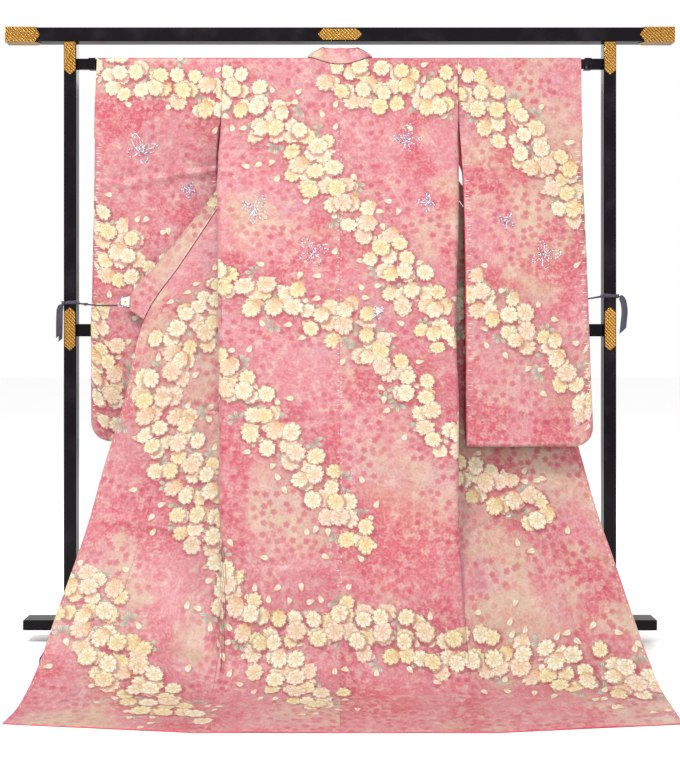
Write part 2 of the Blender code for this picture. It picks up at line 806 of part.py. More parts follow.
def pointed(centre, wide, tall, point, both):
    """Outline of an upright brass plate, pointed below, and above too with both."""
    x, z = centre
    low, high = z - tall / 2, z + tall / 2
    top = [(x + wide / 2, high), (x - wide / 2, high)]
    if both:
        top = [(x + wide / 2, high - point), (x, high), (x - wide / 2, high - point)]
    return [(x - wide / 2, low + point), (x, low), (x + wide / 2, low + point)] + top


def brasses(brass):
    for side in (LEFT, RIGHT):
        x, front = side * POST_X, STAND_Y - POST_DEEP / 2 - LAP
        name = SIDE_NAME[side]
        top = pointed((x, RAIL_TOP - RAIL_TALL - 0.046), 0.030, 0.089, 0.012, False)
        extruded("post_plate_top_" + name, top, "xz", front - PLATE, front, brass)
        middle = pointed((x, MID_RAIL_Z + 0.004), 0.029, 0.117, 0.012, True)
        extruded("post_plate_mid_" + name, middle, "xz", front - PLATE, front, brass)
        rail_cap(side, brass)
    front = STAND_Y - RAIL_DEEP / 2 - LAP
    z, long, tall, point = RAIL_TOP - RAIL_TALL / 2, 0.119, 0.030, 0.014
    outline = [
        (-long / 2, z), (-long / 2 + point, z - tall / 2), (long / 2 - point, z - tall / 2),
        (long / 2, z), (long / 2 - point, z + tall / 2), (-long / 2 + point, z + tall / 2),
    ]
    extruded("rail_plate_centre", outline, "xz", front - PLATE, front, brass)


def rail_cap(side, brass):
    """A brass cap over a rail end, each of its four faces running to a point."""
    length, point = 0.080, 0.014
    end = RAIL_LENGTH / 2 + LAP

    def ring(x, grow, drawn):
        half_y, half_z = RAIL_DEEP / 2 + LAP + grow, RAIL_TALL / 2 + LAP + grow
        corners = [(-1, -1), (0, -1), (1, -1), (1, 0), (1, 1), (0, 1), (-1, 1), (-1, 0)]
        row = []
        for sy, sz in corners:
            tip = drawn if 0 in (sy, sz) else 0.0
            row.append((side * (x - tip), STAND_Y + sy * half_y, RAIL_TOP - RAIL_TALL / 2 + sz * half_z))
        return row

    places = ring(end + PLATE, PLATE, 0.0) + ring(end - length, PLATE, point)
    places += ring(end - length, 0.0, point) + ring(end, 0.0, 0.0)
    faces = [
        (8 * j + i, 8 * j + (i + 1) % 8, 8 * j + 8 + (i + 1) % 8, 8 * j + 8 + i)
        for j in range(3)
        for i in range(8)
    ]
    faces += [tuple(reversed(range(8))), tuple(range(24, 32))]
    solid("rail_cap_" + SIDE_NAME[side], places, faces, brass).data.shade_flat()


# ---- Ties ----
TIE_WIDE, TIE_THICK = 0.008, 0.0012
TIE_CLEAR = 0.0012  # from the post to the middle of the tape
TIE_Z = {LEFT: 0.919, RIGHT: 0.938}  # where it goes round the post
TIE_FRONT = POST_DEEP / 2 + PLATE + LAP + TIE_CLEAR
TAIL_CLEAR = 0.001  # from the tape to its hanging end
CLIP_AT = {LEFT: (0.5640, 0.9120), RIGHT: (0.5960, 0.9300)}  # out and up of the collar's tip
TAIL = ((0.006, 0.010), (0.020, -0.074), (0.028, -0.088), (0.034, -0.074), (0.022, 0.010))


def tie_way(side):
    """Places along a tie: out, forward, up. It goes once round the post and hangs on its far side."""
    z, out, up = TIE_Z[side], *CLIP_AT[side]
    forward = collar_place(side, COLLAR_END, 0.8)[1]
    near, far = POST_X - POST_WIDE / 2 - TIE_CLEAR, POST_X + POST_WIDE / 2 + TIE_CLEAR
    front, back = TIE_FRONT, -POST_DEEP / 2 - TIE_CLEAR
    sag = 0.003
    return (
        (out + 0.030, forward, up),
        (mix(out + 0.03, near, 0.5), mix(forward, front, 0.5), mix(up, z, 0.5) - sag),
        (near, front - 0.002, z),
        (near, 0.0, z),
        (near, back, z),
        (far, back, z + 0.001),
        (far, 0.0, z + 0.003),
        (far, front, z + 0.006),
        (POST_X, front, z + 0.009),
    )


def ribbon(name, places, wide, thick, finish):
    """A flat tape along a way, its width kept upright."""
    upright = Vector((0, 0, 1))
    rings = []
    last = len(places) - 1
    for i, place in enumerate(places):
        along = (places[min(i + 1, last)] - places[max(i - 1, 0)]).normalized()
        across = along.cross(upright).normalized()
        top = across.cross(along).normalized()
        rings.append([
            place + top * (sy * wide / 2) + across * (sx * thick / 2)
            for sx, sy in ((-1, -1), (1, -1), (1, 1), (-1, 1))
        ])
    points = [p for ring in rings for p in ring]
    faces = [
        (4 * j + i, 4 * j + (i + 1) % 4, 4 * j + 4 + (i + 1) % 4, 4 * j + 4 + i)
        for j in range(last)
        for i in range(4)
    ]
    faces += [(3, 2, 1, 0), tuple(range(len(points) - 4, len(points)))]
    return solid(name, points, faces, finish)


def ties(satin, white):
    for side in (LEFT, RIGHT):
        way = [world(side, place) for place in tie_way(side)]
        ribbon("tie_" + SIDE_NAME[side], way, TIE_WIDE, TIE_THICK, satin)
        tail = [(side * (POST_X + out), TIE_Z[side] + up) for out, up in TAIL]
        face = STAND_Y - TIE_FRONT - TIE_THICK / 2 - TAIL_CLEAR
        extruded("tie_tail_" + SIDE_NAME[side], tail, "xz", face - TIE_THICK, face, satin)
        clip(side, white)


def clip(side, white):
    """Two jaws over the collar's free edge, joined beyond it."""
    seam, free = (Vector(collar_place(side, COLLAR_END - 0.012, share)) for share in (0.0, 1.0))
    reach = (free - seam).normalized()
    along = (free - Vector(collar_place(side, COLLAR_END - 0.03, 1.0))).normalized()
    face = reach.cross(along).normalized()
    along = face.cross(reach)
    out, forward, up = free
    gap, jaw, bite, tall = COLLAR_WALL / 2 + 0.0008, 0.0020, 0.011, 0.010
    outline = [(-bite, gap), (0.003, gap), (0.003, -gap), (-bite, -gap)]
    outline += [(-bite, -gap - jaw), (0.009, -gap - jaw), (0.009, gap + jaw), (-bite, gap + jaw)]
    places = []
    for shift in (-tall, tall):
        for a, b in outline:
            place = Vector((out, forward, up)) + reach * a + face * b + along * shift
            places.append(world(side, tuple(place)))
    count = len(outline)
    faces = [(i, (i + 1) % count, (i + 1) % count + count, i + count) for i in range(count)]
    faces += [tuple(reversed(range(count))), tuple(range(count, 2 * count))]
    solid("clip_" + SIDE_NAME[side], places, faces, white).data.shade_flat()


def main():
    for thing in list(bpy.data.objects):
        bpy.data.objects.remove(thing, do_unlink=True)
    silk = material("silk", SILK)
    black, brass = material("lacquer", BLACK), material("brass", BRASS)
    stand(black)
    brasses(brass)
    for side in (LEFT, RIGHT):
        back_panel(side, silk)
        front_panel(side, silk)
        okumi_panel(side, silk)
        sleeve(side, silk)
    collar(silk)
    ties(material("satin", SATIN), material("clip", WHITE))


main()
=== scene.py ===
# %% [markdown]
# # A wedding kimono on its stand
# An uchikake is the long outer robe of a Japanese bride. It is cut from straight lengths of silk, lined
# in crimson, and shown from the back on a black lacquered stand, with a rod through its sleeves.
# The cloth here is worked out from the flat pattern: every piece knows how wide and how long it is when
# it lies on a table, and a few short tables say where its edges hang. That keeps the cloth's true size.

# %% Load the frame
import json
from math import cos, pi, radians, sin, sqrt

import bpy
import numpy as np
from mathutils import Matrix, Vector

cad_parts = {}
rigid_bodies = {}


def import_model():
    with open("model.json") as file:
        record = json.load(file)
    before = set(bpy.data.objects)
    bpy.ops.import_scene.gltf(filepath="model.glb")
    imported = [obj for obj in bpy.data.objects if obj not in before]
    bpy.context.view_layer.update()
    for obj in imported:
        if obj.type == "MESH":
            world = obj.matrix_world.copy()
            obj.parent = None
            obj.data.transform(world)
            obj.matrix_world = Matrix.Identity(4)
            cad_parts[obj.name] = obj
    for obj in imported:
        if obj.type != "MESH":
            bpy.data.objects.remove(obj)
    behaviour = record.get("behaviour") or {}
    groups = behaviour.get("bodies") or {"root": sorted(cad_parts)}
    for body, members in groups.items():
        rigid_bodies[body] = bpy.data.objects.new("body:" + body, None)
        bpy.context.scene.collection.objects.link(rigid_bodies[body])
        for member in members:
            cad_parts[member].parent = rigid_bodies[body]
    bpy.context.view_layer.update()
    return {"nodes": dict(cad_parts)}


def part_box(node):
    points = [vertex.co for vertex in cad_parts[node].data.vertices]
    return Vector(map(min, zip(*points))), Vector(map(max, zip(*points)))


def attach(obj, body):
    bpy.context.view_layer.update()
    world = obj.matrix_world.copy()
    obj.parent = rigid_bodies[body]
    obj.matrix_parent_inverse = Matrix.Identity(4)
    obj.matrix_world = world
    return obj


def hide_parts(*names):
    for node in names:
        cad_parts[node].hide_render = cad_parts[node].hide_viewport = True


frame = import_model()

bpy.ops.object.select_all(action="DESELECT")
print("nodes:", len(frame["nodes"]))

# %% [markdown]
# ## Sizes of the cut
# All lengths are in metres. v runs down the cloth from the shoulder fold, and u runs from the centre
# back round the side to the front edge. The back, the side, the front and its overlap are therefore one
# flat canvas, and the painted pattern runs across their seams as it does on the dyed silk.

# %% Flat sizes
LEFT, RIGHT = -1, 1
SIDE_NAME = {LEFT: "left", RIGHT: "right"}
LENGTH, WALL, COLLAR_WALL, SEAM = 1.94, 0.002, 0.004, 0.00004
BACK_HALF, FRONT_WIDTH, OKUMI_WIDTH = 0.320, 0.262, 0.143
NECK_HALF, NECK_DROP = 0.088, 0.028
SLEEVE_SEAM, SLIT_END, COLLAR_END, OKUMI_TOP = 0.158, 0.292, 0.800, 0.20
SLEEVE_LENGTH, SLEEVE_WIDTH, WRIST, SLEEVE_DEPTH, SLEEVE_CORNER = 1.045, 0.340, 0.230, 0.012, 0.055
SHOULDER_Z, ROD_TURN = 1.5895, 0.0125
FALL_FORWARD, FALL_POWER, FLOOR_BEND = 0.448, 1.8, 0.11
FOOT_BACK, POST_X, POST_WIDE, POST_DEEP = 0.260, 0.733, 0.034, 0.038
SIDE_RADIUS, SLIT_OPEN = 0.0135, 0.022


# %% A smooth curve through a table
def curve(rows, at, column):
    """Read one column of a table at any place, on a smooth curve through its rows."""
    rows = np.array(rows, float)
    x, y = rows[:, 0], rows[:, column]
    low = np.maximum(np.arange(len(x)) - 1, 0)
    high = np.minimum(np.arange(len(x)) + 1, len(x) - 1)
    slope = (y[high] - y[low]) / (x[high] - x[low])
    at = np.asarray(at, float)
    k = np.clip(np.searchsorted(x, at, side="left") - 1, 0, len(x) - 2)
    wide = x[k + 1] - x[k]
    t = np.clip((at - x[k]) / wide, 0.0, 1.0)
    return (
        y[k] * (1 + 2 * t) * (1 - t) ** 2
        + y[k + 1] * t * t * (3 - 2 * t)
        + wide * slope[k] * t * (1 - t) ** 2
        - wide * slope[k + 1] * t * t * (1 - t)
    )


def ease(low, high, value):
    t = np.clip((value - low) / (high - low), 0.0, 1.0)
    return t * t * (3 - 2 * t)


def mix(a, b, t):
    return a + (b - a) * t


# %% [markdown]
# ## How the back falls
# The robe is longer than the stand is high. Its back hangs over the rod, leans forward more and more,
# and lies on the floor for the last hand's breadth.

# %% The centre back
def fall_profile():
    """Length so far, forward and up, from the shoulder fold to the hem."""
    rod_steps, hang_steps, bend_steps = 6, 40, 24
    path = []
    for k in range(rod_steps + 1):
        turn = k / rod_steps * pi / 2
        path.append((ROD_TURN * sin(turn), SHOULDER_Z - ROD_TURN * (1 - cos(turn))))
    top = SHOULDER_Z - ROD_TURN

    def slope_at(height):
        return ROD_TURN + FALL_FORWARD * (1 - height / top) ** FALL_POWER

    bend_top = FLOOR_BEND * 0.8
    for k in range(1, hang_steps + 1):
        height = mix(top, bend_top, k / hang_steps)
        path.append((slope_at(height), height))
    start, contact = path[-1], slope_at(0.0)
    for k in range(1, bend_steps + 1):
        t = k / bend_steps
        forward = (1 - t) ** 2 * start[0] + 2 * t * (1 - t) * contact + t * t * (contact + FLOOR_BEND)
        path.append((forward, (1 - t) ** 2 * start[1] + t * t * WALL))
    path.append((contact + 1.0, WALL))  # flat on the floor, further than the cloth reaches
    steps = [0.0] + [sqrt((b[0] - a[0]) ** 2 + (b[1] - a[1]) ** 2) for a, b in zip(path, path[1:])]
    return np.column_stack((np.cumsum(steps), path))


FALL = fall_profile()


def fall(v):
    return np.interp(v, FALL[:, 0], FALL[:, 1]), np.interp(v, FALL[:, 0], FALL[:, 2])


HEM_FORWARD = float(fall(LENGTH)[0])
STAND_Y = (HEM_FORWARD - FOOT_BACK) / 2
print("the rod stands at y", round(STAND_Y, 4), "and the hem reaches", round(STAND_Y - HEM_FORWARD, 4))

# %% [markdown]
# ## Camera, floor and light
# A display stand is seen square on, from a little over three metres, with the lens a little above half
# the height of the rod. The floor and all that lies behind are white, and soft lights leave only a faint
# shadow under the hem.

# %% Camera
DISTANCE, EYE = 3.2, 0.833
HIGH = 759  # rows of the render
MIDDLE, LEVEL = 340, 335  # the column and the row of the render that the lens looks straight at
PER_PIXEL = 0.00273  # metres that one row of the render covers on the stand's plane
SENSOR = 36.0
camera_data = bpy.data.cameras.new("camera")
camera_data.sensor_fit = "VERTICAL"
camera_data.sensor_height = SENSOR
camera_data.lens = SENSOR * (DISTANCE / PER_PIXEL) / HIGH
camera_data.shift_y = (LEVEL - HIGH / 2) / HIGH
camera = bpy.data.objects.new("camera", camera_data)
camera.location = (0.0, STAND_Y - DISTANCE, EYE)
camera.rotation_euler = (pi / 2, 0.0, 0.0)
bpy.context.collection.objects.link(camera)
bpy.context.scene.camera = camera

# %% Floor and light
scene = bpy.context.scene
scene.view_settings.view_transform = "Standard"
scene.view_settings.look = "None"
world = bpy.data.worlds.new("studio")
scene.world = world
world.use_nodes = True
sky = world.node_tree.nodes["Background"].inputs
sky["Color"].default_value = (1.0, 1.0, 1.0, 1)
sky["Strength"].default_value = 1.0


def plain(name, colour, roughness, metallic=0.0):
    """A material with one Principled shader, whose colour may be linked later."""
    made = bpy.data.materials.new(name)
    made.use_nodes = True
    inputs = made.node_tree.nodes["Principled BSDF"].inputs
    inputs["Base Color"].default_value = (*colour, 1)
    inputs["Roughness"].default_value = roughness
    inputs["Metallic"].default_value = metallic
    return made


FLOOR_SIZE, FLOOR_Z = 40, -0.0005
bpy.ops.mesh.primitive_plane_add(size=FLOOR_SIZE, location=(0, 0, FLOOR_Z))
floor = bpy.context.object
floor.name = "studio_floor"
floor.data.materials.append(plain("white_floor", (0.96, 0.96, 0.955), 0.8))


def lamp(name, place, aim, size, power):
    data = bpy.data.lights.new(name, "AREA")
    data.shape = "RECTANGLE"
    data.size, data.size_y = size
    data.energy = power
    made = bpy.data.objects.new(name, data)
    made.location = place
    made.rotation_euler = (Vector(aim) - Vector(place)).to_track_quat("-Z", "Y").to_euler()
    bpy.context.collection.objects.link(made)


lamp("key", (-1.4, -1.8, 3.9), (0, 0.2, 0.9), (0.9, 0.7), 170)
lamp("front", (0.5, -3.6, 1.2), (0, 0.2, 0.8), (0.9, 0.9), 46)
lamp("side", (3.0, -2.2, 1.8), (0, 0.1, 0.8), (1.6, 1.6), 24)
lamp("rear", (0.8, 3.4, 3.0), (0, 0.2, 0.8), (2.0, 1.6), 30)
print("camera at", [round(x, 3) for x in camera.location])

# %% [markdown]
# ## Where the edges hang
# Each table below is one edge of the robe, as it hangs: how far down the cloth, how far out from the
# centre, how far forward of the rod, and how high. Ties hold the two collar ends out to the posts, so
# the fronts swing open behind the back, one a little higher than the other.

# %% Tables of edges
SIDE = {
    LEFT: (
        (0.00, 0.3200, 0.00), (0.16, 0.3215, 0.00), (0.30, 0.3310, 1.00), (0.60, 0.3260, 1.00),
        (0.95, 0.3120, 1.00), (1.25, 0.2990, 0.95), (1.50, 0.2900, 0.55), (1.72, 0.2950, 0.08),
        (1.80, 0.3000, 0.00), (1.94, 0.3040, 0.00),
    ),
    RIGHT: (
        (0.00, 0.3200, 0.00), (0.16, 0.3205, 0.00), (0.30, 0.3220, 1.00), (0.60, 0.3120, 1.00),
        (0.75, 0.3040, 1.00), (0.95, 0.3070, 1.00), (1.25, 0.2950, 0.95), (1.50, 0.3010, 0.50),
        (1.72, 0.3120, 0.08), (1.80, 0.3180, 0.00), (1.94, 0.3270, 0.00),
    ),
}
FRONT_EDGE = {
    LEFT: (
        (0.020, 0.0830, -0.0240, 1.5830), (0.050, 0.0890, -0.0480, 1.5580), (0.100, 0.1240, -0.0620, 1.5060),
        (0.200, 0.2000, -0.0660, 1.3980), (0.300, 0.2560, -0.0560, 1.3040), (0.420, 0.3240, -0.0200, 1.1960),
        (0.600, 0.4240, 0.0280, 1.0330), (0.800, 0.5240, 0.0620, 0.8730), (1.000, 0.5720, 0.1100, 0.6480),
        (1.165, 0.6130, 0.1600, 0.4910), (1.320, 0.6430, 0.2200, 0.3475), (1.475, 0.6750, 0.3000, 0.2170),
        (1.560, 0.6877, 0.3600, 0.1547), (1.680, 0.7040, 0.4450, 0.0660), (1.760, 0.7130, 0.5180, 0.0230),
        (1.850, 0.7170, 0.6050, 0.0030), (1.940, 0.7230, 0.6920, 0.0020),
    ),
    RIGHT: (
        (0.020, 0.0830, -0.0240, 1.5830), (0.050, 0.0890, -0.0480, 1.5580), (0.100, 0.1250, -0.0630, 1.5060),
        (0.200, 0.2030, -0.0700, 1.3990), (0.300, 0.2610, -0.0640, 1.3070), (0.420, 0.3320, -0.0440, 1.2000),
        (0.600, 0.4420, -0.0080, 1.0440), (0.800, 0.5540, 0.0340, 0.8900), (1.000, 0.6020, 0.0520, 0.6840),
        (1.100, 0.6234, 0.0760, 0.5830), (1.225, 0.6480, 0.1250, 0.4640), (1.335, 0.6700, 0.1800, 0.3590),
        (1.450, 0.6930, 0.2500, 0.2617), (1.580, 0.7110, 0.3400, 0.1600), (1.690, 0.7250, 0.4350, 0.0720),
        (1.770, 0.7330, 0.5100, 0.0240), (1.850, 0.7390, 0.5950, 0.0030), (1.940, 0.7340, 0.6940, 0.0020),
    ),
}


# %% The body's side and the front
SECTION_POINTS, MOST_PULL, HALVINGS = 97, 1.6, 18  # of a level section, and of the search for its fold
FOLD_BOW, FOLD_START, FOLD_END = 0.03, 0.05, 0.10  # how a fold bows out, and how far its two sides part


def over_rod(v):
    """Forward and up of the front near the shoulder fold, down the far side of the rod."""
    turn = np.minimum(v / ROD_TURN, pi / 2)
    down = np.maximum(v - ROD_TURN * pi / 2, 0.0)
    return -ROD_TURN * np.sin(turn), SHOULDER_Z - ROD_TURN * (1 - np.cos(turn)) - down


def front_width(v):
    """Flat width of the front from the side seam to its edge."""
    return mix(BACK_HALF - NECK_HALF, FRONT_WIDTH + OKUMI_WIDTH, np.minimum(v / COLLAR_END, 1.0))


def front_edge(side, v):
    rows = FRONT_EDGE[side]
    first = rows[0]
    if v >= first[0]:
        return tuple(float(curve(rows, v, column)) for column in (1, 2, 3))
    forward, up = over_rod(v)
    share = v / first[0]
    return (
        mix(NECK_HALF, first[1], share),
        float(mix(forward, first[2], share**3)),
        float(mix(up, first[3], share**3)),
    )


def side_turn(side, v):
    return curve(SIDE[side], v, 1), np.clip(curve(SIDE[side], v, 2), 0.0, 1.0) * pi


def back_place(side, u, v):
    """Out, forward and up on the back panel, whose side edge rolls round towards the front."""
    forward, up = fall(v)
    reach, turn = side_turn(side, v)
    flat = reach - SIDE_RADIUS * np.sin(np.minimum(turn, pi / 2))
    flat_cut = BACK_HALF - SIDE_RADIUS * turn
    angle = np.maximum(u - flat_cut, 0.0) / SIDE_RADIUS
    out = np.where(u <= flat_cut, u * flat / flat_cut, flat + SIDE_RADIUS * np.sin(angle))
    return np.stack((out, forward - SIDE_RADIUS * (1 - np.cos(angle)), up + 0 * out), axis=-1)


def section(side, v):
    """The front's level section: out, forward and share across of its points, and both ends' heights."""
    out, forward, up = (float(x) for x in back_place(side, np.array(BACK_HALF), v))
    behind, high = over_rod(v)
    shut = float(ease(SLEEVE_SEAM, SLIT_END, v))
    angle = pi if v < SLIT_END else float(side_turn(side, v)[1])
    start = (out, float(mix(behind, forward, shut)) - SLIT_OPEN * 4 * shut * (1 - shut))
    end = front_edge(side, v)
    inmost = min(start[0], end[0])
    t = np.linspace(0, 1, SECTION_POINTS)
    a, b, c, d = (1 - t) ** 3, 3 * t * (1 - t) ** 2, 3 * t * t * (1 - t), t**3

    def points(pull):
        bow, deep = min(pull, 1.0), max(pull - 1.0, 0.0)
        leave = bow * (start[0] - inmost) + deep + bow * FOLD_BOW * (1 + cos(angle)) / 2
        arrive = bow * (end[0] - inmost) + deep
        first = (start[0] + leave * cos(angle), start[1] - leave * sin(angle) + FOLD_START * deep)
        second = (end[0] - arrive, end[1] - FOLD_END * deep)
        x = a * start[0] + b * first[0] + c * second[0] + d * end[0]
        y = a * start[1] + b * first[1] + c * second[1] + d * end[1]
        return x, y, np.concatenate(([0.0], np.cumsum(np.hypot(np.diff(x), np.diff(y)))))

    low, high_pull = 0.0, MOST_PULL
    for _ in range(HALVINGS):
        pull = (low + high_pull) / 2
        if points(pull)[2][-1] > front_width(v):
            high_pull = pull
        else:
            low = pull
    x, y, length = points(low)
    return x, y, length / length[-1], float(mix(high, up, shut)), end[2]


SECTIONS = {}


def front_place(side, across, v):
    """Out, forward and up of one row of the front, at distances across it from the side seam."""
    key = (side, round(float(v), 6))
    if key not in SECTIONS:
        SECTIONS[key] = section(side, float(v))
    x, y, length, up_side, up_edge = SECTIONS[key]
    share = across / front_width(v)
    up = mix(up_side, up_edge, ease(0.0, 1.0, share))
    return np.stack((np.interp(share, length, x), np.interp(share, length, y), up), axis=-1)


def world_place(side, places):
    """From out, forward and up to the frame's x, y and z."""
    return np.stack((side * places[..., 0], STAND_Y - places[..., 1], places[..., 2]), axis=-1)


# %% Pieces that ride on the frame
def riding(piece):
    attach(piece, "root")
    return piece


def mesh_piece(name, places, polygons, finishes, numbers, uvs=None, smooth=True):
    """A piece made of polygons, with the number of each one's finish and, for cloth, its flat places."""
    mesh = bpy.data.meshes.new(name)
    mesh.from_pydata(places, [], polygons)
    if uvs is not None:
        layer = mesh.uv_layers.new(name="flat")
        layer.data.foreach_set("uv", np.array(uvs, dtype=np.float32).reshape(-1))
    for finish in finishes:
        mesh.materials.append(finish)
    mesh.polygons.foreach_set("material_index", np.array(numbers, dtype=np.int32))
    if smooth:
        mesh.shade_smooth()
    mesh.update()
    piece = bpy.data.objects.new(name, mesh)
    bpy.context.collection.objects.link(piece)
    return riding(piece)


# %% [markdown]
# ## A wall of cloth
# Lined silk is thin but not a single face: it has an outside, a lining and an edge. The helper below
# takes a grid of places with a flat coordinate for each, lifts it along its normals by the creases, and
# gives it a lining one wall behind. Where a grid closes on itself, its doubled places are joined first.

# %% From a grid to a lined cloth
def merge(grid):
    """Join places that coincide: those left, which of them each grid place is, and the first of each."""
    flat = grid.reshape(-1, 3)
    rounded = np.round(flat, 6) + 0.0  # to a thousandth of a millimetre, and with no minus zero
    _, first, back = np.unique(rounded, axis=0, return_index=True, return_inverse=True)
    return flat[first], back.reshape(grid.shape[:2]), first


def grid_faces(ids):
    """Corners of the grid's faces, as numbers of grid places."""
    number = np.arange(ids.size).reshape(ids.shape)
    here, right = number[:, :-1], number[:, 1:]
    return np.stack((here[:-1], right[:-1], right[1:], here[1:]), axis=-1).reshape(-1, 4)


def soft_normals(places, faces):
    across = places[faces[:, 2]] - places[faces[:, 0]]
    along = places[faces[:, 3]] - places[faces[:, 1]]
    normal = np.cross(across, along)
    total = np.zeros_like(places)
    for corner in range(4):
        np.add.at(total, faces[:, corner], normal)
    return total / np.maximum(np.linalg.norm(total, axis=1, keepdims=True), 1e-12)


FLOOR_GAP = 0.0001


def cloth(name, grid, canvas, lift, turned, finishes, wall=WALL):
    """Build one sewn piece. turned says that its outside is the far side of the grid's own faces."""
    places, ids, first = merge(grid)
    corners = grid_faces(ids)
    faces = ids.reshape(-1)[corners]
    whole = np.array([len(set(face)) > 2 for face in faces])
    corners, faces = corners[whole], faces[whole]
    if turned:
        corners, faces = corners[:, ::-1], faces[:, ::-1]
    normals = soft_normals(places, faces)
    outer = places + normals * lift.reshape(-1)[first][:, None]
    outer[:, 2] = np.maximum(outer[:, 2], wall + FLOOR_GAP)  # the hem rests on the floor
    normals = soft_normals(outer, faces)
    inner = outer - normals * wall
    inner[:, 2] = np.maximum(inner[:, 2], FLOOR_GAP)
    count = len(outer)
    edges = {}
    for face, corner in zip(faces.tolist(), corners.tolist()):
        ring = [(face[k], corner[k]) for k in range(4) if face[k] != face[k - 1]]
        for (a, at_a), (b, at_b) in zip(ring, ring[1:] + ring[:1]):
            edges[(a, b)] = (at_a, at_b)
    rim = [(a, b, *at) for (a, b), at in edges.items() if (b, a) not in edges]
    polygons, uvs, slots = [], [], []
    spots = canvas.reshape(-1, 2)

    def add(face, corner, slot):
        kept = [k for k in range(len(face)) if face[k] != face[k - 1]]
        polygons.append([face[k] for k in kept])
        uvs.extend(spots[corner[k]] for k in kept)
        slots.append(slot)

    for face, corner in zip(faces.tolist(), corners.tolist()):
        add(face, corner, 0)
    for face, corner in zip(faces.tolist(), corners.tolist()):
        add([i + count for i in reversed(face)], corner[::-1], 1)
    for a, b, at_a, at_b in rim:
        add([b, a, a + count, b + count], [at_b, at_a, at_a, at_b], len(finishes) - 1)
    print(name, "has", len(polygons), "faces")
    return mesh_piece(name, np.vstack((outer, inner)).tolist(), polygons, finishes, slots, uvs)


# %% [markdown]
# ## Creases
# A robe that has been kept folded in paper shows sharp, straight storage folds across it, and hung
# cloth has soft swells and puckers. Each is one row: where it starts and ends on the flat cloth, how
# high it stands, how wide it is, and whether it is sharp. No two are alike, as in real silk.

# %% Creases as soft troughs and ridges
CREASE_GROWTH = 3.0  # every crease stands this many times as high as its row says


def crease_lift(u, v, rows):
    """Height of the creases at each place. Rows: u0, v0, u1, v1, height, width, sharp."""
    total = np.zeros_like(u)
    for number, (u0, v0, u1, v1, height, width, sharp) in enumerate(rows):
        along_u, along_v = u1 - u0, v1 - v0
        size = sqrt(along_u**2 + along_v**2)
        t = ((u - u0) * along_u + (v - v0) * along_v) / size**2
        off = ((v - v0) * along_u - (u - u0) * along_v) / size
        off = off + width * 0.35 * np.sin(t * 9 + number) + width * 0.2 * np.sin(t * 23 + 2 * number)
        fade = ease(-0.02, 0.12, t) * (1 - ease(0.88, 1.02, t))
        uneven = 0.75 + 0.25 * np.sin(t * 7 + 3 * number)
        height = height * CREASE_GROWTH
        shape = np.exp(-np.abs(off) / width) if sharp else np.exp(-((off / width) ** 2))
        total += height * uneven * fade * shape
    return total


def swells(u, v, rows):
    """Slow unevenness: rows of waves a metre across u, waves a metre down v, turn, height."""
    total = np.zeros_like(u)
    for across, down, turn, height in rows:
        total += height * np.sin(2 * pi * (across * u + down * v) + turn)
    return total


BODY_CREASES = (
    (-0.33, 0.262, 0.33, 0.272, -0.0016, 0.0035, True), (-0.33, 0.272, 0.33, 0.283, 0.0012, 0.0090, False),
    (-0.31, 0.640, -0.02, 0.634, -0.0010, 0.0040, True), (0.02, 0.634, 0.31, 0.642, -0.0012, 0.0045, True),
    (0.17, 0.655, 0.32, 0.648, 0.0016, 0.0080, False), (-0.32, 0.655, -0.17, 0.662, 0.0014, 0.0080, False),
    (-0.28, 1.010, 0.30, 1.000, -0.0009, 0.0050, True), (-0.30, 1.372, 0.32, 1.380, -0.0014, 0.0045, True),
    (-0.18, 1.385, 0.26, 1.392, 0.0012, 0.0100, False), (0.31, 0.600, 0.33, 1.280, 0.0024, 0.0140, False),
    (-0.33, 0.400, -0.30, 1.300, 0.0020, 0.0120, False), (-0.30, 0.330, -0.24, 0.620, 0.0014, 0.0160, False),
    (0.27, 0.300, 0.30, 0.560, 0.0012, 0.0150, False), (0.33, 1.300, 0.72, 1.235, 0.0026, 0.0110, False),
    (0.33, 1.315, 0.72, 1.250, -0.0018, 0.0040, True), (0.36, 0.980, 0.70, 0.940, 0.0016, 0.0100, False),
    (-0.72, 1.290, -0.34, 1.340, 0.0022, 0.0110, False), (-0.70, 0.955, -0.36, 1.000, 0.0020, 0.0060, False),
    (-0.70, 0.965, -0.36, 1.010, -0.0018, 0.0040, True), (-0.56, 0.620, -0.34, 0.560, 0.0018, 0.0090, False),
    (0.34, 0.560, 0.56, 0.640, 0.0018, 0.0090, False), (-0.60, 1.660, -0.36, 1.600, 0.0030, 0.0180, False),
    (0.40, 1.620, 0.62, 1.700, 0.0028, 0.0170, False), (-0.20, 1.700, 0.04, 1.740, 0.0026, 0.0160, False),
    (0.05, 1.760, 0.30, 1.720, 0.0024, 0.0150, False), (-0.66, 1.820, -0.30, 1.800, 0.0030, 0.0140, False),
    (0.28, 1.810, 0.64, 1.830, 0.0028, 0.0140, False),
)
BODY_SWELLS = (
    (3.1, 0.35, 0.4, 0.0010), (5.3, -0.50, 1.9, 0.0007), (8.9, 1.40, 0.9, 0.0004), (1.3, 1.10, 2.5, 0.0012),
)


def body_lift(u, v):
    """Creases and swells of the body; the swells grow towards the hem and rest flat on the floor."""
    grow = 0.5 + 2.2 * ease(0.8, 1.7, v)
    lift = crease_lift(u, v, BODY_CREASES) + swells(u, v, BODY_SWELLS) * grow
    shoulder = ease(0.0, 0.08, v)
    floor_share = ease(1.62, 1.74, v)
    side_seam = 1 - 0.96 * np.exp(-(((np.abs(u) - BACK_HALF) / 0.020) ** 2))
    lift = mix(lift, 0.4 * lift + 0.0022, floor_share) * (1 - 0.55 * ease(1.90, LENGTH, v))
    return shoulder * side_seam * lift


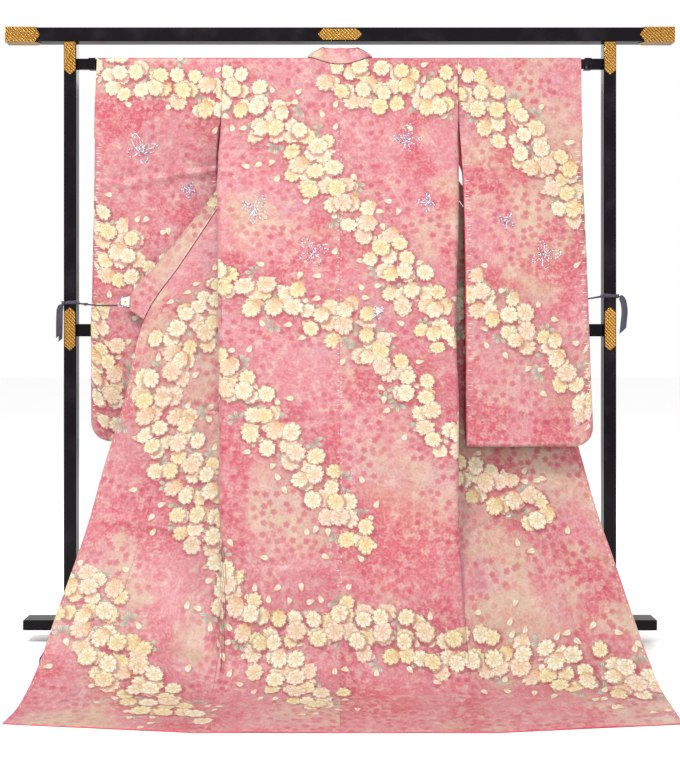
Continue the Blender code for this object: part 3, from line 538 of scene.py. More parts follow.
# %% Steps across a piece, finer at its sewn edges
def stations(low, high, step=0.0062):
    fine, margin = (0.0, 0.0012, 0.0034), 0.007
    count = max(int((high - low) / step), 4)
    inner = np.linspace(low + margin, high - margin, count)
    return np.concatenate(([low + x for x in fine], inner, [high - x for x in reversed(fine)]))


def seam_dip(distance):
    """How far cloth is drawn in at its stitching."""
    return -0.0003 * np.exp(-((distance / 0.0022) ** 2))


ROWS = np.concatenate(
    (np.linspace(0.0, 0.03, 7)[:-1], np.linspace(0.03, 1.60, 262)[:-1], np.linspace(1.60, LENGTH, 58))
)
# more rows where the storage folds cross
FOLD_ROWS = [np.linspace(v - 0.016, v + 0.016, 11) + 0.0013 for v in (0.268, 0.640, 1.006, 1.376)]
ROWS = np.sort(np.concatenate((ROWS, [LENGTH - 0.0012, LENGTH - 0.003], *FOLD_ROWS)))
ROWS = ROWS[np.concatenate(([True], np.diff(ROWS) > 0.0007))]
print("rows down the body:", len(ROWS))

# %% [markdown]
# ## Silk with a painted pattern
# The ground is dyed in clouds of rose, salmon and lilac. Over it lie small scattered blossoms, and
# drifts of double cherry blossom with leaf sprigs and loose petals. The drifts are a few lines on the flat
# canvas; blossoms are set one in each cell of a jittered grid, and a cell blooms where its middle is near
# a drift. Each blossom is drawn in its own polar coordinates, so it stays sharp at any distance.

# %% Short names for shader nodes
def srgb(red, green, blue):
    """A screen colour from 0 to 255 as linear values."""
    def linear(x):
        x /= 255
        return x / 12.92 if x <= 0.04045 else ((x + 0.055) / 1.055) ** 2.4

    return (linear(red), linear(green), linear(blue))


class Painter:
    """Makes one material, adds nodes to it and joins them up."""

    def __init__(self, name, colour, roughness, metallic=0.0):
        self.finish = plain(name, colour, roughness, metallic)
        self.tree = self.finish.node_tree
        self.inputs = self.tree.nodes["Principled BSDF"].inputs

    def join(self, value, name):
        self.tree.links.new(value, self.inputs[name])

    def amounts(self, values):
        for name, value in values.items():
            self.inputs[name].default_value = value

    def relief(self, height, strength, distance):
        sockets = {"Height": height, "Strength": strength, "Distance": distance}
        self.join(self.node("ShaderNodeBump", sockets).outputs["Normal"], "Normal")

    def flat(self):
        """Where a place lies on the flat cloth."""
        return self.node("ShaderNodeUVMap", {}, uv_map="flat").outputs["UV"]

    def place(self):
        """Where a place is in the piece's own frame."""
        return self.node("ShaderNodeTexCoord", {}).outputs["Object"]

    def scaled(self, at, sizes):
        return self.node("ShaderNodeMapping", {"Vector": at, "Scale": sizes}).outputs["Vector"]

    def cloud(self, at, scale, detail):
        return self.node("ShaderNodeTexNoise", {"Vector": at, "Scale": scale, "Detail": detail}).outputs["Fac"]

    def node(self, kind, sockets, **settings):
        made = self.tree.nodes.new(kind)
        for name, value in settings.items():
            setattr(made, name, value)
        for name, value in sockets.items():
            socket = made.inputs[name]
            if isinstance(value, bpy.types.NodeSocket):
                self.tree.links.new(value, socket)
            elif value is not None:
                socket.default_value = value
        return made

    def math(self, operation, a, b=None, c=None, clamp=False):
        sockets = {k: x for k, x in enumerate((a, b, c)) if x is not None}
        return self.node("ShaderNodeMath", sockets, operation=operation, use_clamp=clamp).outputs[0]

    def times(self, a, b, clamp=False):
        return self.math("MULTIPLY", a, b, clamp=clamp)

    def plus(self, a, b):
        return self.math("ADD", a, b)

    def minus(self, a, b, clamp=False):
        return self.math("SUBTRACT", a, b, clamp=clamp)

    def vector(self, operation, a, b=None, scale=None):
        sockets = {k: x for k, x in enumerate((a, b)) if x is not None}
        if scale is not None:
            sockets["Scale"] = scale
        made = self.node("ShaderNodeVectorMath", sockets, operation=operation)
        return made.outputs["Value" if operation in ("LENGTH", "DOT_PRODUCT") else "Vector"]

    def ramp(self, value, low, high, bottom=0.0, top=1.0):
        """A soft step: bottom at low, top at high."""
        sockets = {"Value": value, "From Min": low, "From Max": high, "To Min": bottom, "To Max": top}
        made = self.node("ShaderNodeMapRange", sockets, interpolation_type="SMOOTHSTEP")
        return made.outputs["Result"]

    def blend(self, a, b, share):
        """Colour a turned into colour b by share."""
        made = self.node("ShaderNodeMix", {}, data_type="RGBA")
        for socket, value in ((made.inputs[0], share), (made.inputs[6], a), (made.inputs[7], b)):
            if isinstance(value, bpy.types.NodeSocket):
                self.tree.links.new(value, socket)
            else:
                socket.default_value = (*value, 1) if isinstance(value, tuple) else value
        return made.outputs[2]

    def tint(self, under, screen, value, low, high, bottom=0.0, top=1.0):
        """The colour under turned into a screen colour by a soft step."""
        screen = srgb(*screen)
        return self.blend(under, screen, self.ramp(value, low, high, bottom, top))

    def noise(self, at, scale, detail=2.0, rough=0.5, out="Fac"):
        sockets = {"Vector": at, "Scale": scale, "Detail": detail, "Roughness": rough}
        return self.node("ShaderNodeTexNoise", sockets, noise_dimensions="2D").outputs[out]

    def split(self, vector):
        return self.node("ShaderNodeSeparateXYZ", {"Vector": vector}).outputs


# %% Blossoms set out in cells
def scatter(paint, at, size, jitter, shift):
    """One place to draw in each cell: plain and turned coordinates, the cell's middle, its chances."""
    moved = paint.vector("ADD", paint.vector("SCALE", at, scale=1 / size), shift)
    cells = paint.node(
        "ShaderNodeTexVoronoi", {"Vector": moved, "Scale": 1.0, "Randomness": jitter},
        voronoi_dimensions="2D", feature="F1",
    ).outputs
    local = paint.vector("SCALE", paint.vector("SUBTRACT", moved, cells["Position"]), scale=size)
    middle = paint.vector("SCALE", paint.vector("SUBTRACT", cells["Position"], shift), scale=size)
    chance = paint.node("ShaderNodeSeparateColor", {"Color": cells["Color"]}).outputs
    angle = paint.times(chance["Red"], 2 * pi)
    turned = paint.node(
        "ShaderNodeVectorRotate", {"Vector": local, "Angle": angle}, rotation_type="Z_AXIS"
    ).outputs["Vector"]
    return local, turned, middle, chance


def blooming(paint, field, middle, luck, share, bloom):
    """Whether a cell is drawn: how near it is to a drift, with a share of luck, has to pass bloom."""
    near = field(middle)
    return paint.math("GREATER_THAN", paint.plus(near, paint.times(luck, share)), bloom)


def petal_share(paint, angle, count, turn):
    """Distance from the nearest petal's middle line, from 0 to 0.5."""
    a = paint.math("FRACT", paint.math("MULTIPLY_ADD", angle, count / (2 * pi), turn + 10.0))
    return paint.math("ABSOLUTE", paint.minus(a, 0.5))


def petal_edge(paint, share, reach, round_off, notch):
    """Outline of a ring of petals: rounded between petals, and nicked at each tip."""
    rounded = paint.math("MULTIPLY_ADD", paint.times(share, share), -round_off, reach)
    nick = paint.ramp(share, 0.0, 0.10, notch, 0.0)
    return paint.minus(rounded, nick)


def polar(paint, local, radius):
    """Distance in radii, angle, and distance to one side of the cell's middle."""
    x, y = (paint.split(local)[k] for k in (0, 1))
    away = paint.math("DIVIDE", paint.vector("LENGTH", local), radius)
    return away, paint.math("ARCTAN2", y, x), x


# %% Where blossoms drift
def drift_field(paint, at, drifts):
    """1 on a drift's line, falling to 0 at its half width: the strongest of all drifts."""
    best = None
    for u0, v0, u1, v1, width in drifts:
        start, along = (u0, -v0, 0.0), (u1 - u0, v0 - v1, 0.0)
        size = along[0] ** 2 + along[1] ** 2
        away = paint.vector("SUBTRACT", at, start)
        t = paint.times(paint.vector("DOT_PRODUCT", away, along), 1 / size, clamp=True)
        step = paint.node("ShaderNodeVectorMath", {0: along, "Scale": t}, operation="SCALE").outputs[0]
        off = paint.vector("LENGTH", paint.vector("SUBTRACT", away, step))
        near = paint.math("MULTIPLY_ADD", off, -1 / width, 1.0)
        best = near if best is None else paint.math("MAXIMUM", best, near)
    return best


# %% One layer of double cherry blossom
def blossoms(paint, at, under, field, size, radius, shift, bloom):
    """Paint blossoms over the colour under. bloom is how near a drift's line a cell has to be."""
    local, turned, middle, chance = scatter(paint, at, size, 0.62, shift)
    grown = paint.times(paint.ramp(chance["Green"], 0.0, 1.0, 0.88, 1.10), radius)
    # no two petals alike: the drawing is pulled about a little before it is laid out in petals
    ruffle = paint.vector("SUBTRACT", paint.noise(at, 190.0, 2.0, out="Color"), (0.5, 0.5, 0.5))
    turned = paint.vector("ADD", turned, paint.vector("SCALE", ruffle, scale=0.0080))
    turned = paint.vector("MULTIPLY", turned, (1.0, 1.12, 1.0))
    away, angle, x = polar(paint, turned, grown)
    here = blooming(paint, field, middle, chance["Blue"], 0.50, bloom)
    back = petal_share(paint, angle, 8, 0.0)
    fore = petal_share(paint, angle, 7, 0.5)
    core = petal_share(paint, angle, 5, 0.27)
    back_edge = petal_edge(paint, back, 1.02, 1.0, 0.09)
    fore_edge = petal_edge(paint, fore, 0.90, 1.0, 0.09)
    core_edge = petal_edge(paint, core, 0.55, 0.8, 0.08)
    edge = paint.math("MAXIMUM", back_edge, fore_edge)
    body = paint.times(paint.ramp(paint.minus(edge, away), -0.02, 0.02), here)
    # painted shadow: a soft rose shadow that each blossom casts on the ground below it
    drop = paint.vector("LENGTH", paint.vector("ADD", local, (-0.08 * radius, 0.22 * radius, 0.0)))
    painted_shadow = paint.times(paint.ramp(drop, 0.80 * radius, 1.20 * radius, 0.62, 0.0), here)
    colour = paint.blend(under, srgb(160, 56, 74), painted_shadow)
    # petals from cream to butter and blush, some turning to ochre on one side
    tone = paint.blend(srgb(254, 244, 216), srgb(250, 234, 184), paint.ramp(chance["Blue"], 0.35, 0.95))
    tone = paint.tint(tone, (250, 218, 200), chance["Green"], 0.60, 0.86, 0.0, 0.75)
    side = paint.ramp(paint.math("DIVIDE", x, grown), 0.0, 0.95)
    warm = paint.times(side, paint.ramp(chance["Red"], 0.66, 0.82, 0.0, 0.8))
    tone = paint.blend(tone, srgb(226, 156, 84), warm)
    # painted shade: each petal is shaded as if rounded, darker towards its neighbours and towards the heart
    petal_shade = paint.times(paint.ramp(fore, 0.22, 0.50, 0.0, 0.40), paint.ramp(away, 0.95, 0.45))
    tone = paint.blend(tone, srgb(218, 176, 112), petal_shade)
    tone = paint.tint(tone, (222, 182, 118), away, 0.10, 0.62, 0.40, 0.0)
    # fine drawn lines between petals and round them
    beyond = paint.minus(away, core_edge)
    over = paint.ramp(paint.minus(away, fore_edge), -0.01, 0.01)
    between = paint.times(paint.minus(0.5, fore), away)
    veins = paint.times(paint.ramp(between, 0.006, 0.024, 0.50, 0.0), paint.ramp(beyond, -0.02, 0.04))
    inside = paint.times(paint.minus(0.5, core), away)
    folds = paint.times(paint.ramp(inside, 0.005, 0.020, 0.42, 0.0), paint.ramp(away, 0.08, 0.20))
    lines = paint.math("MAXIMUM", veins, paint.times(folds, paint.ramp(beyond, -0.04, 0.02, 1.0, 0.0)))
    for line, thin, wide, strength in (
        (edge, 0.010, 0.060, 0.85), (core_edge, 0.010, 0.040, 0.50), (fore_edge, 0.008, 0.038, 0.50),
    ):
        ring = paint.ramp(paint.math("ABSOLUTE", paint.minus(away, line)), thin, wide, strength, 0.0)
        lines = paint.math("MAXIMUM", lines, ring)
    # painted shade: the back row of petals, beyond the front row's edge, is drawn a little darker
    tone = paint.blend(tone, srgb(226, 196, 140), paint.times(over, 0.35))
    tone = paint.blend(tone, srgb(118, 88, 56), lines)
    # stamens
    threads = paint.ramp(petal_share(paint, angle, 9, 0.1), 0.04, 0.18, 0.8, 0.0)
    threads = paint.times(threads, paint.ramp(away, 0.14, 0.24, 0.8, 0.0))
    tone = paint.blend(tone, srgb(186, 122, 62), threads)
    return paint.blend(colour, tone, body), body


# %% Leaf sprigs, loose petals and small blossoms
def sprigs(paint, at, under, field, size, radius, shift, bloom):
    """Three or four pointed leaves from one point, grey-green with a dark midrib."""
    _, turned, middle, chance = scatter(paint, at, size, 0.7, shift)
    away, angle, x = polar(paint, turned, radius)
    here = blooming(paint, field, middle, chance["Blue"], 0.3, bloom)
    here = paint.times(here, paint.math("GREATER_THAN", chance["Green"], 0.42))
    half = paint.math("GREATER_THAN", x, -0.0015)
    share = petal_share(paint, angle, 7, 0.0)
    width = paint.times(paint.times(away, paint.minus(1.0, away, clamp=True)), 1.45)
    leaf = paint.ramp(paint.minus(width, share), -0.02, 0.05)
    leaf = paint.times(leaf, paint.times(here, half))
    green = paint.blend(srgb(150, 164, 140), srgb(214, 216, 190), paint.ramp(away, 0.2, 0.95))
    rib = paint.ramp(share, 0.015, 0.05, 0.7, 0.0)
    edge = paint.ramp(paint.minus(width, share), 0.02, 0.09, 0.75, 0.0)
    green = paint.blend(green, srgb(112, 120, 104), paint.math("MAXIMUM", rib, edge))
    return paint.blend(under, green, leaf)


def loose_petals(paint, at, under, field, size, shift, bloom, thin):
    """Single petals blown from the drifts, rounded at one end and drawn to a point at the other."""
    local, turned, middle, chance = scatter(paint, at, size, 0.95, shift)
    here = blooming(paint, field, middle, chance["Blue"], 0.2, bloom)
    here = paint.times(here, paint.math("GREATER_THAN", chance["Green"], thin))
    parts = paint.split(turned)
    long = paint.math("DIVIDE", parts[0], 0.0118)
    taper = paint.math("MULTIPLY_ADD", long, -0.52, 0.80)
    short = paint.math("DIVIDE", paint.math("DIVIDE", parts[1], 0.0078), taper)
    size_now = paint.plus(paint.times(long, long), paint.times(short, short))
    petal = paint.times(paint.ramp(size_now, 0.90, 1.04, 1.0, 0.0), here)
    # painted shadow: a soft rose shadow that each petal casts on the ground below it
    drop = paint.vector("LENGTH", paint.vector("ADD", local, (-0.0010, 0.0036, 0.0)))
    painted_shadow = paint.times(paint.ramp(drop, 0.004, 0.012, 0.50, 0.0), here)
    colour = paint.blend(under, srgb(158, 66, 80), painted_shadow)
    tone = paint.blend(srgb(248, 236, 210), srgb(238, 206, 160), paint.ramp(long, -0.6, 0.9))
    fold = paint.ramp(paint.math("ABSOLUTE", short), 0.03, 0.16, 0.45, 0.0)
    line = paint.math("MAXIMUM", fold, paint.ramp(size_now, 0.70, 0.95, 0.0, 0.8))
    tone = paint.blend(tone, srgb(136, 100, 70), line)
    return paint.blend(colour, tone, petal)


def small_blossoms(paint, at, under, size, radius, shift, strength, deep, light):
    """The common repeat under everything: five-petalled blossoms between two tones."""
    _, turned, middle, chance = scatter(paint, at, size, 0.85, shift)
    away, angle, _ = polar(paint, turned, radius)
    share = petal_share(paint, angle, 5, 0.0)
    edge = petal_edge(paint, share, 1.0, 1.4, 0.14)
    petals = paint.ramp(paint.minus(edge, away), -0.03, 0.05)
    here = paint.ramp(chance["Blue"], 0.12, 0.30)
    faded = paint.ramp(paint.noise(middle, 5.5, 2.0), 0.34, 0.58, 0.22, 1.0)
    share_here = paint.times(paint.times(petals, here), faded)
    tone = paint.blend(deep, light, paint.ramp(chance["Green"], 0.15, 0.95))
    tone = paint.tint(tone, (158, 40, 74), away, 0.08, 0.34, 0.55, 0.0)
    rim = paint.ramp(paint.minus(edge, away), 0.05, 0.30, 0.45, 0.0)
    tone = paint.blend(tone, srgb(244, 190, 188), rim)
    return paint.blend(under, tone, paint.times(share_here, strength))


# %% The silk of one canvas
# the two layers of small blossoms: cell, radius, shift of the cells, strength, and two screen colours
SMALL_BLOSSOMS = (
    (0.0205, 0.0088, (1.7, 8.3, 0.0), 0.46, (238, 168, 170), (248, 216, 192)),
    (0.0240, 0.0100, (5.2, 1.1, 0.0), 0.66, (214, 64, 96), (232, 110, 126)),
)
# the two layers of double blossoms: cell, radius, shift of the cells, and how near a drift they bloom
DOUBLE_BLOSSOMS = ((0.047, 0.0246, (3.9, 2.2, 0.0), 0.50), (0.056, 0.0260, (7.3, 5.9, 0.0), 0.60))
DYE, GROUND = 0.51, 0.86  # how far the whole dye, and the ground alone, are taken down in brightness


def painted_silk(name, drifts, shift, rosy, edged=0.0, pools=()):
    """Satin with the dyed ground, the repeat and the drifts of one canvas.

    rosy is how far the clouds lean to pink, edged how pale the strip by the side seam is, and pools are
    u, v and reach of deeper dye.
    """
    paint = Painter(name, (0.8, 0.4, 0.45), 0.5)
    at = paint.flat()
    # the two backs were dyed apart, so the clouds jump a little at the centre seam
    left = paint.math("LESS_THAN", paint.split(at)[0], 0.0)
    jump = paint.node("ShaderNodeCombineXYZ", {"X": left, "Y": paint.times(left, 0.37)})
    clouds_at = paint.vector("ADD", paint.vector("ADD", at, jump.outputs["Vector"]), shift)
    bent = paint.vector("ADD", clouds_at, paint.vector("SCALE", paint.vector(
        "SUBTRACT", paint.noise(clouds_at, 9.0, 3.0, out="Color"), (0.5, 0.5, 0.5)), scale=0.05))
    clouds = paint.noise(bent, 3.1, 3.0, 0.55)
    colour = paint.tint(srgb(232, 200, 172), (236, 146, 158), clouds, 0.40 - rosy, 0.56 - rosy)
    rose = paint.noise(paint.vector("ADD", bent, (3.3, 1.7, 0.0)), 4.4, 3.0, 0.60)
    colour = paint.tint(colour, (224, 72, 104), rose, 0.52, 0.66, 0.0, 0.85)
    colour = paint.tint(colour, (222, 174, 186), rose, 0.43, 0.30, 0.0, 0.45)
    for u, v, reach in pools:
        off = paint.vector("LENGTH", paint.vector("SUBTRACT", bent, (u, -v, 0.0)))
        colour = paint.tint(colour, (232, 62, 92), off, 0.25 * reach, reach, 0.74, 0.0)
    mottle = paint.noise(bent, 27.0, 4.0, 0.70)
    colour = paint.tint(colour, (248, 214, 196), mottle, 0.50, 0.72, 0.0, 0.70)
    colour = paint.tint(colour, (232, 104, 116), mottle, 0.47, 0.30, 0.0, 0.36)
    # the ground turns dusky beside the drifts
    near = drift_field(paint, at, drifts)
    dusk = paint.ramp(paint.plus(near, paint.times(clouds, 0.9)), -0.35, 1.10, 0.0, 0.48)
    colour = paint.blend(colour, srgb(198, 92, 104), dusk)
    grain = paint.noise(bent, 140.0, 2.0, 0.6)
    colour = paint.tint(colour, (246, 216, 186), grain, 0.48, 0.66, 0.0, 0.34)
    colour = paint.tint(colour, (196, 66, 84), grain, 0.46, 0.30, 0.0, 0.24)
    for size, radius, cells, strength, deep, light in SMALL_BLOSSOMS:
        colour = small_blossoms(paint, at, colour, size, radius, cells, strength, srgb(*deep), srgb(*light))
    # a pale lilac strip on the roll beside the side seam, from below the slit down to the upper skirt
    across, down = (paint.math("ABSOLUTE", paint.split(at)[k]) for k in (0, 1))
    strip = paint.times(paint.ramp(across, 0.288, 0.300, 0.0, edged), paint.ramp(down, 0.30, 0.36))
    strip = paint.times(strip, paint.times(paint.ramp(across, 0.345, 0.338), paint.ramp(down, 1.25, 1.05)))
    colour = paint.blend(colour, srgb(232, 176, 190), strip)
    colour = paint.vector("SCALE", colour, scale=GROUND)

    def field(middle):
        return drift_field(paint, middle, drifts)

    colour = sprigs(paint, at, colour, field, size=0.050, radius=0.027, shift=(2.4, 6.6, 0.0), bloom=0.24)
    colour = loose_petals(paint, at, colour, field, size=0.034, shift=(9.1, 3.7, 0.0), bloom=-0.34, thin=0.68)
    painted = []
    for size, radius, cells, bloom in DOUBLE_BLOSSOMS:
        colour, body = blossoms(paint, at, colour, field, size, radius, cells, bloom)
        painted.append(body)
    # satin threads: a slight change of tone, and a fine relief
    threads = paint.scaled(at, (900.0, 260.0, 1.0))
    weave = paint.noise(threads, 1.0, 1.0)
    colour = paint.blend(colour, (0.35, 0.12, 0.16), paint.ramp(weave, 0.35, 0.75, 0.10, 0.0))
    colour = paint.vector("SCALE", colour, scale=DYE)
    paint.join(colour, "Base Color")
    paint.join(paint.ramp(paint.math("MAXIMUM", *painted), 0.0, 1.0, 0.46, 0.60), "Roughness")
    crepe = paint.plus(weave, paint.times(paint.noise(at, 420.0, 2.0), 1.4))
    crepe = paint.plus(crepe, paint.times(paint.noise(at, 38.0, 3.0), 5.0))
    paint.relief(crepe, 0.35, 0.0005)
    paint.amounts({"Sheen Weight": 0.12, "Sheen Roughness": 0.4, "Specular IOR Level": 0.35})
    return paint.finish


# u0, v0, u1, v1 and half width of each drift, on the flat canvas
BODY_DRIFTS = (
    (-0.36, 0.04, -0.10, 0.25, 0.080), (-0.10, 0.25, 0.26, 0.76, 0.070), (0.02, 0.07, 0.36, 0.11, 0.075),
    (-0.30, 0.63, 0.02, 0.73, 0.066), (0.02, 0.73, 0.28, 1.06, 0.066), (-0.28, 0.88, 0.03, 1.29, 0.068),
    (-0.64, 0.98, -0.30, 1.44, 0.095), (-0.30, 1.44, -0.05, 1.74, 0.082), (-0.08, 1.50, 0.40, 1.60, 0.072),
    (0.40, 1.60, 0.68, 1.76, 0.080), (-0.72, 1.48, -0.36, 1.82, 0.095), (-0.46, 0.50, -0.62, 0.86, 0.080),
    (0.36, 1.10, 0.56, 1.30, 0.066), (0.38, 0.52, 0.58, 0.84, 0.075),
)


def drifts_near(low, high):
    """The drifts that reach a panel between two values of u."""
    return [d for d in BODY_DRIFTS if min(d[0], d[2]) - d[4] < high and max(d[0], d[2]) + d[4] > low]


LEFT_SLEEVE_DRIFTS = (
    (-0.34, 0.03, -0.12, 0.07, 0.070), (-0.14, 0.05, 0.02, 0.15, 0.065), (-0.36, 0.45, -0.20, 0.58, 0.090),
    (-0.24, 0.56, -0.02, 0.78, 0.095), (-0.36, 0.70, -0.26, 1.00, 0.080), (-0.30, 1.30, -0.02, 1.52, 0.080),
    (-0.34, 1.76, -0.06, 2.00, 0.080),
)
RIGHT_SLEEVE_DRIFTS = (
    (-0.02, 0.06, 0.12, 0.17, 0.070), (0.12, 0.17, 0.26, 0.32, 0.072), (0.26, 0.32, 0.36, 0.52, 0.070),
    (0.00, 0.62, 0.16, 0.76, 0.066), (0.16, 0.76, 0.36, 0.95, 0.066), (0.02, 1.24, 0.30, 1.50, 0.080),
    (0.04, 1.72, 0.30, 2.00, 0.080),
)
# u, v and reach of the deeper pools of rose dye
BODY_POOLS = (
    (-0.11, 0.42, 0.20), (0.12, 1.31, 0.20), (0.09, 1.76, 0.14), (-0.50, 1.36, 0.18), (0.37, 0.78, 0.34),
)
SLEEVE_POOLS = {LEFT: ((-0.28, 0.18, 0.18),), RIGHT: ((0.22, 0.92, 0.18), (0.04, 0.48, 0.16))}
HERE = (0.0, 0.0, 0.0)
SILKS = {
    "back_left": ("left_back", drifts_near(-BACK_HALF, 0.0), HERE, 0.09, 0.45, BODY_POOLS[:1]),
    "back_right": ("right_back", drifts_near(0.0, BACK_HALF), HERE, 0.07, 0.45, BODY_POOLS[1:3]),
    "front_left": ("left_front", drifts_near(-0.73, -BACK_HALF), HERE, 0.04, 0.45, BODY_POOLS[3:4]),
    "front_right": ("right_front", drifts_near(BACK_HALF, 0.73), HERE, -0.03, 0.0, BODY_POOLS[4:]),
    "sleeve_left": ("left_sleeve", LEFT_SLEEVE_DRIFTS, (4.1, 2.7, 0.0), 0.07, 0.0, SLEEVE_POOLS[LEFT]),
    "sleeve_right": ("right_sleeve", RIGHT_SLEEVE_DRIFTS, (6.4, 9.2, 0.0), 0.04, 0.0, SLEEVE_POOLS[RIGHT]),
    "collar": ("collar", ((3.0, -0.42, 3.07, -0.50, 0.060),), HERE, 0.02),
}
silk = {name: painted_silk("silk_of_" + place, *look) for name, (place, *look) in SILKS.items()}
silk["okumi_left"], silk["okumi_right"] = silk["front_left"], silk["front_right"]
print("nodes in one silk:", len(silk["back_left"].node_tree.nodes))


# %% Crimson lining
def lining_silk():
    paint = Painter("crimson_lining", srgb(196, 30, 58), 0.42)
    at = paint.flat()
    threads = paint.scaled(at, (260.0, 900.0, 1.0))
    weave = paint.noise(threads, 1.0, 1.0)
    tone = paint.blend(srgb(206, 34, 62), srgb(172, 22, 48), paint.ramp(weave, 0.3, 0.7))
    tone = paint.tint(tone, (218, 52, 76), paint.noise(at, 6.0, 3.0), 0.45, 0.75, 0.0, 0.5)
    paint.join(tone, "Base Color")
    paint.relief(weave, 0.3, 0.0003)
    paint.amounts({"Sheen Weight": 0.15})
    return paint.finish


lining = lining_silk()

# %% [markdown]
# ## The back
# Two widths of silk, joined down the middle. Each rolls round at its side and goes on to the front, so
# only the neck, the slit and the hem show an edge. The neck is a shallow scoop below the shoulder fold.

# %% Back panels
def back_grid(side):
    u = stations(SEAM / 2, BACK_HALF - SEAM / 2)
    u = np.unique(np.concatenate((u, np.linspace(BACK_HALF - 0.05, BACK_HALF - 0.01, 14))))
    v, u = np.meshgrid(ROWS, u, indexing="ij")
    dip = NECK_DROP * np.maximum(1 - (u / NECK_HALF) ** 2, 0.0)
    v = dip + v * (1 - dip / LENGTH)
    return world_place(side, back_place(side, u, v)), u, v


made = {}


def sewn(part, side, grid, u, v, lift):
    """One silk piece of a side: u runs out from the centre back, or from a sleeve's seam."""
    name = "%s_%s" % (part, SIDE_NAME[side])
    canvas = np.stack((side * u, -v), axis=-1)
    piece = cloth("silk_" + name, grid, canvas, lift, side == RIGHT, (silk[name], lining, lining))
    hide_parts(name)
    made[name] = piece


for side in (LEFT, RIGHT):
    grid, u, v = back_grid(side)
    edge = np.minimum(u, BACK_HALF - u)
    lift = body_lift(side * u, v) + seam_dip(edge) * ease(0.0, 0.05, v)
    sewn("back", side, grid, u, v, lift)

# %% [markdown]
# ## The fronts and their overlaps
# Each front is one width and a narrower overlap, the okumi. It hangs behind the back from the rod, turns
# once in a deep hanging fold, and comes out to the tie. Level sections are found one by one: the fold is
# made just deep enough to use up the cloth's flat width.

# %% Front panels and overlaps
def front_grid(side, columns, rows):
    """Places, with columns(v) across each row, from the side seam."""
    across = np.array([columns(v) for v in rows])
    places = np.array([front_place(side, a, v) for a, v in zip(across, rows)])
    u = BACK_HALF + across
    v = np.repeat(np.array(rows)[:, None], across.shape[1], axis=1)
    return world_place(side, places), u, v


def front_columns(v):
    last = min(float(front_width(v)), FRONT_WIDTH) - SEAM / 2
    return SEAM / 2 + (stations(0.0, FRONT_WIDTH, 0.0042) / FRONT_WIDTH) * (last - SEAM / 2)


def okumi_columns(v):
    last = float(front_width(v)) - SEAM / 2
    first = FRONT_WIDTH + SEAM / 2
    return first + (stations(0.0, OKUMI_WIDTH) / OKUMI_WIDTH) * (last - first)


for side in (LEFT, RIGHT):
    rows = np.maximum(ROWS, SEAM)
    grid, u, v = front_grid(side, front_columns, rows)
    edge = np.minimum(u - BACK_HALF, np.abs(BACK_HALF + FRONT_WIDTH - u))
    lift = body_lift(side * u, v) + seam_dip(edge) * ease(0.0, 0.05, v)
    sewn("front", side, grid, u, v, lift)
    rows = ROWS[ROWS >= OKUMI_TOP]
    grid, u, v = front_grid(side, okumi_columns, rows)
    edge = np.minimum(u - BACK_HALF - FRONT_WIDTH, BACK_HALF + front_width(v) - u)
    lift = body_lift(side * u, v) + seam_dip(edge)
    sewn("okumi", side, grid, u, v, lift)

# %% [markdown]
# ## The sleeves
# A bride's hanging sleeve is a deep bag, sewn to the body only at the shoulder. Its inner edge is open
# below that, and its outer edge is open only at the top, for the wrist. The bottom outer corner is
# rounded.

# %% Tables of the sleeves
SLEEVE_SWING = {
    LEFT: (
        (0.545, 0.030, 0.024), (0.860, 0.027, 0.027), (0.940, 0.006, 0.014), (1.040, -0.024, 0.006),
        (1.200, -0.062, 0.000), (1.431, 0.000, 0.000), (1.590, 0.000, 0.000),
    ),
    RIGHT: (
        (0.545, 0.168, 0.158), (0.600, 0.140, 0.134), (0.900, 0.082, 0.078), (1.180, 0.032, 0.030),
        (1.431, 0.000, 0.000), (1.590, 0.000, 0.000),
    ),
}
SLEEVE_EDGES = {
    LEFT: (
        (0.545, 0.3400, 0.6740), (1.000, 0.3390, 0.6740), (1.330, 0.3370, 0.6700), (1.390, 0.3290, 0.6690),
        (1.431, 0.3218, 0.6680), (1.500, 0.3210, 0.6650), (1.590, 0.3203, 0.6610),
    ),
    RIGHT: (
        (0.545, 0.3260, 0.6620), (0.800, 0.3330, 0.6620), (1.050, 0.3360, 0.6620), (1.250, 0.3330, 0.6600),
        (1.390, 0.3250, 0.6590), (1.431, 0.3209, 0.6580), (1.500, 0.3206, 0.6570), (1.590, 0.3203, 0.6560),
    ),
}
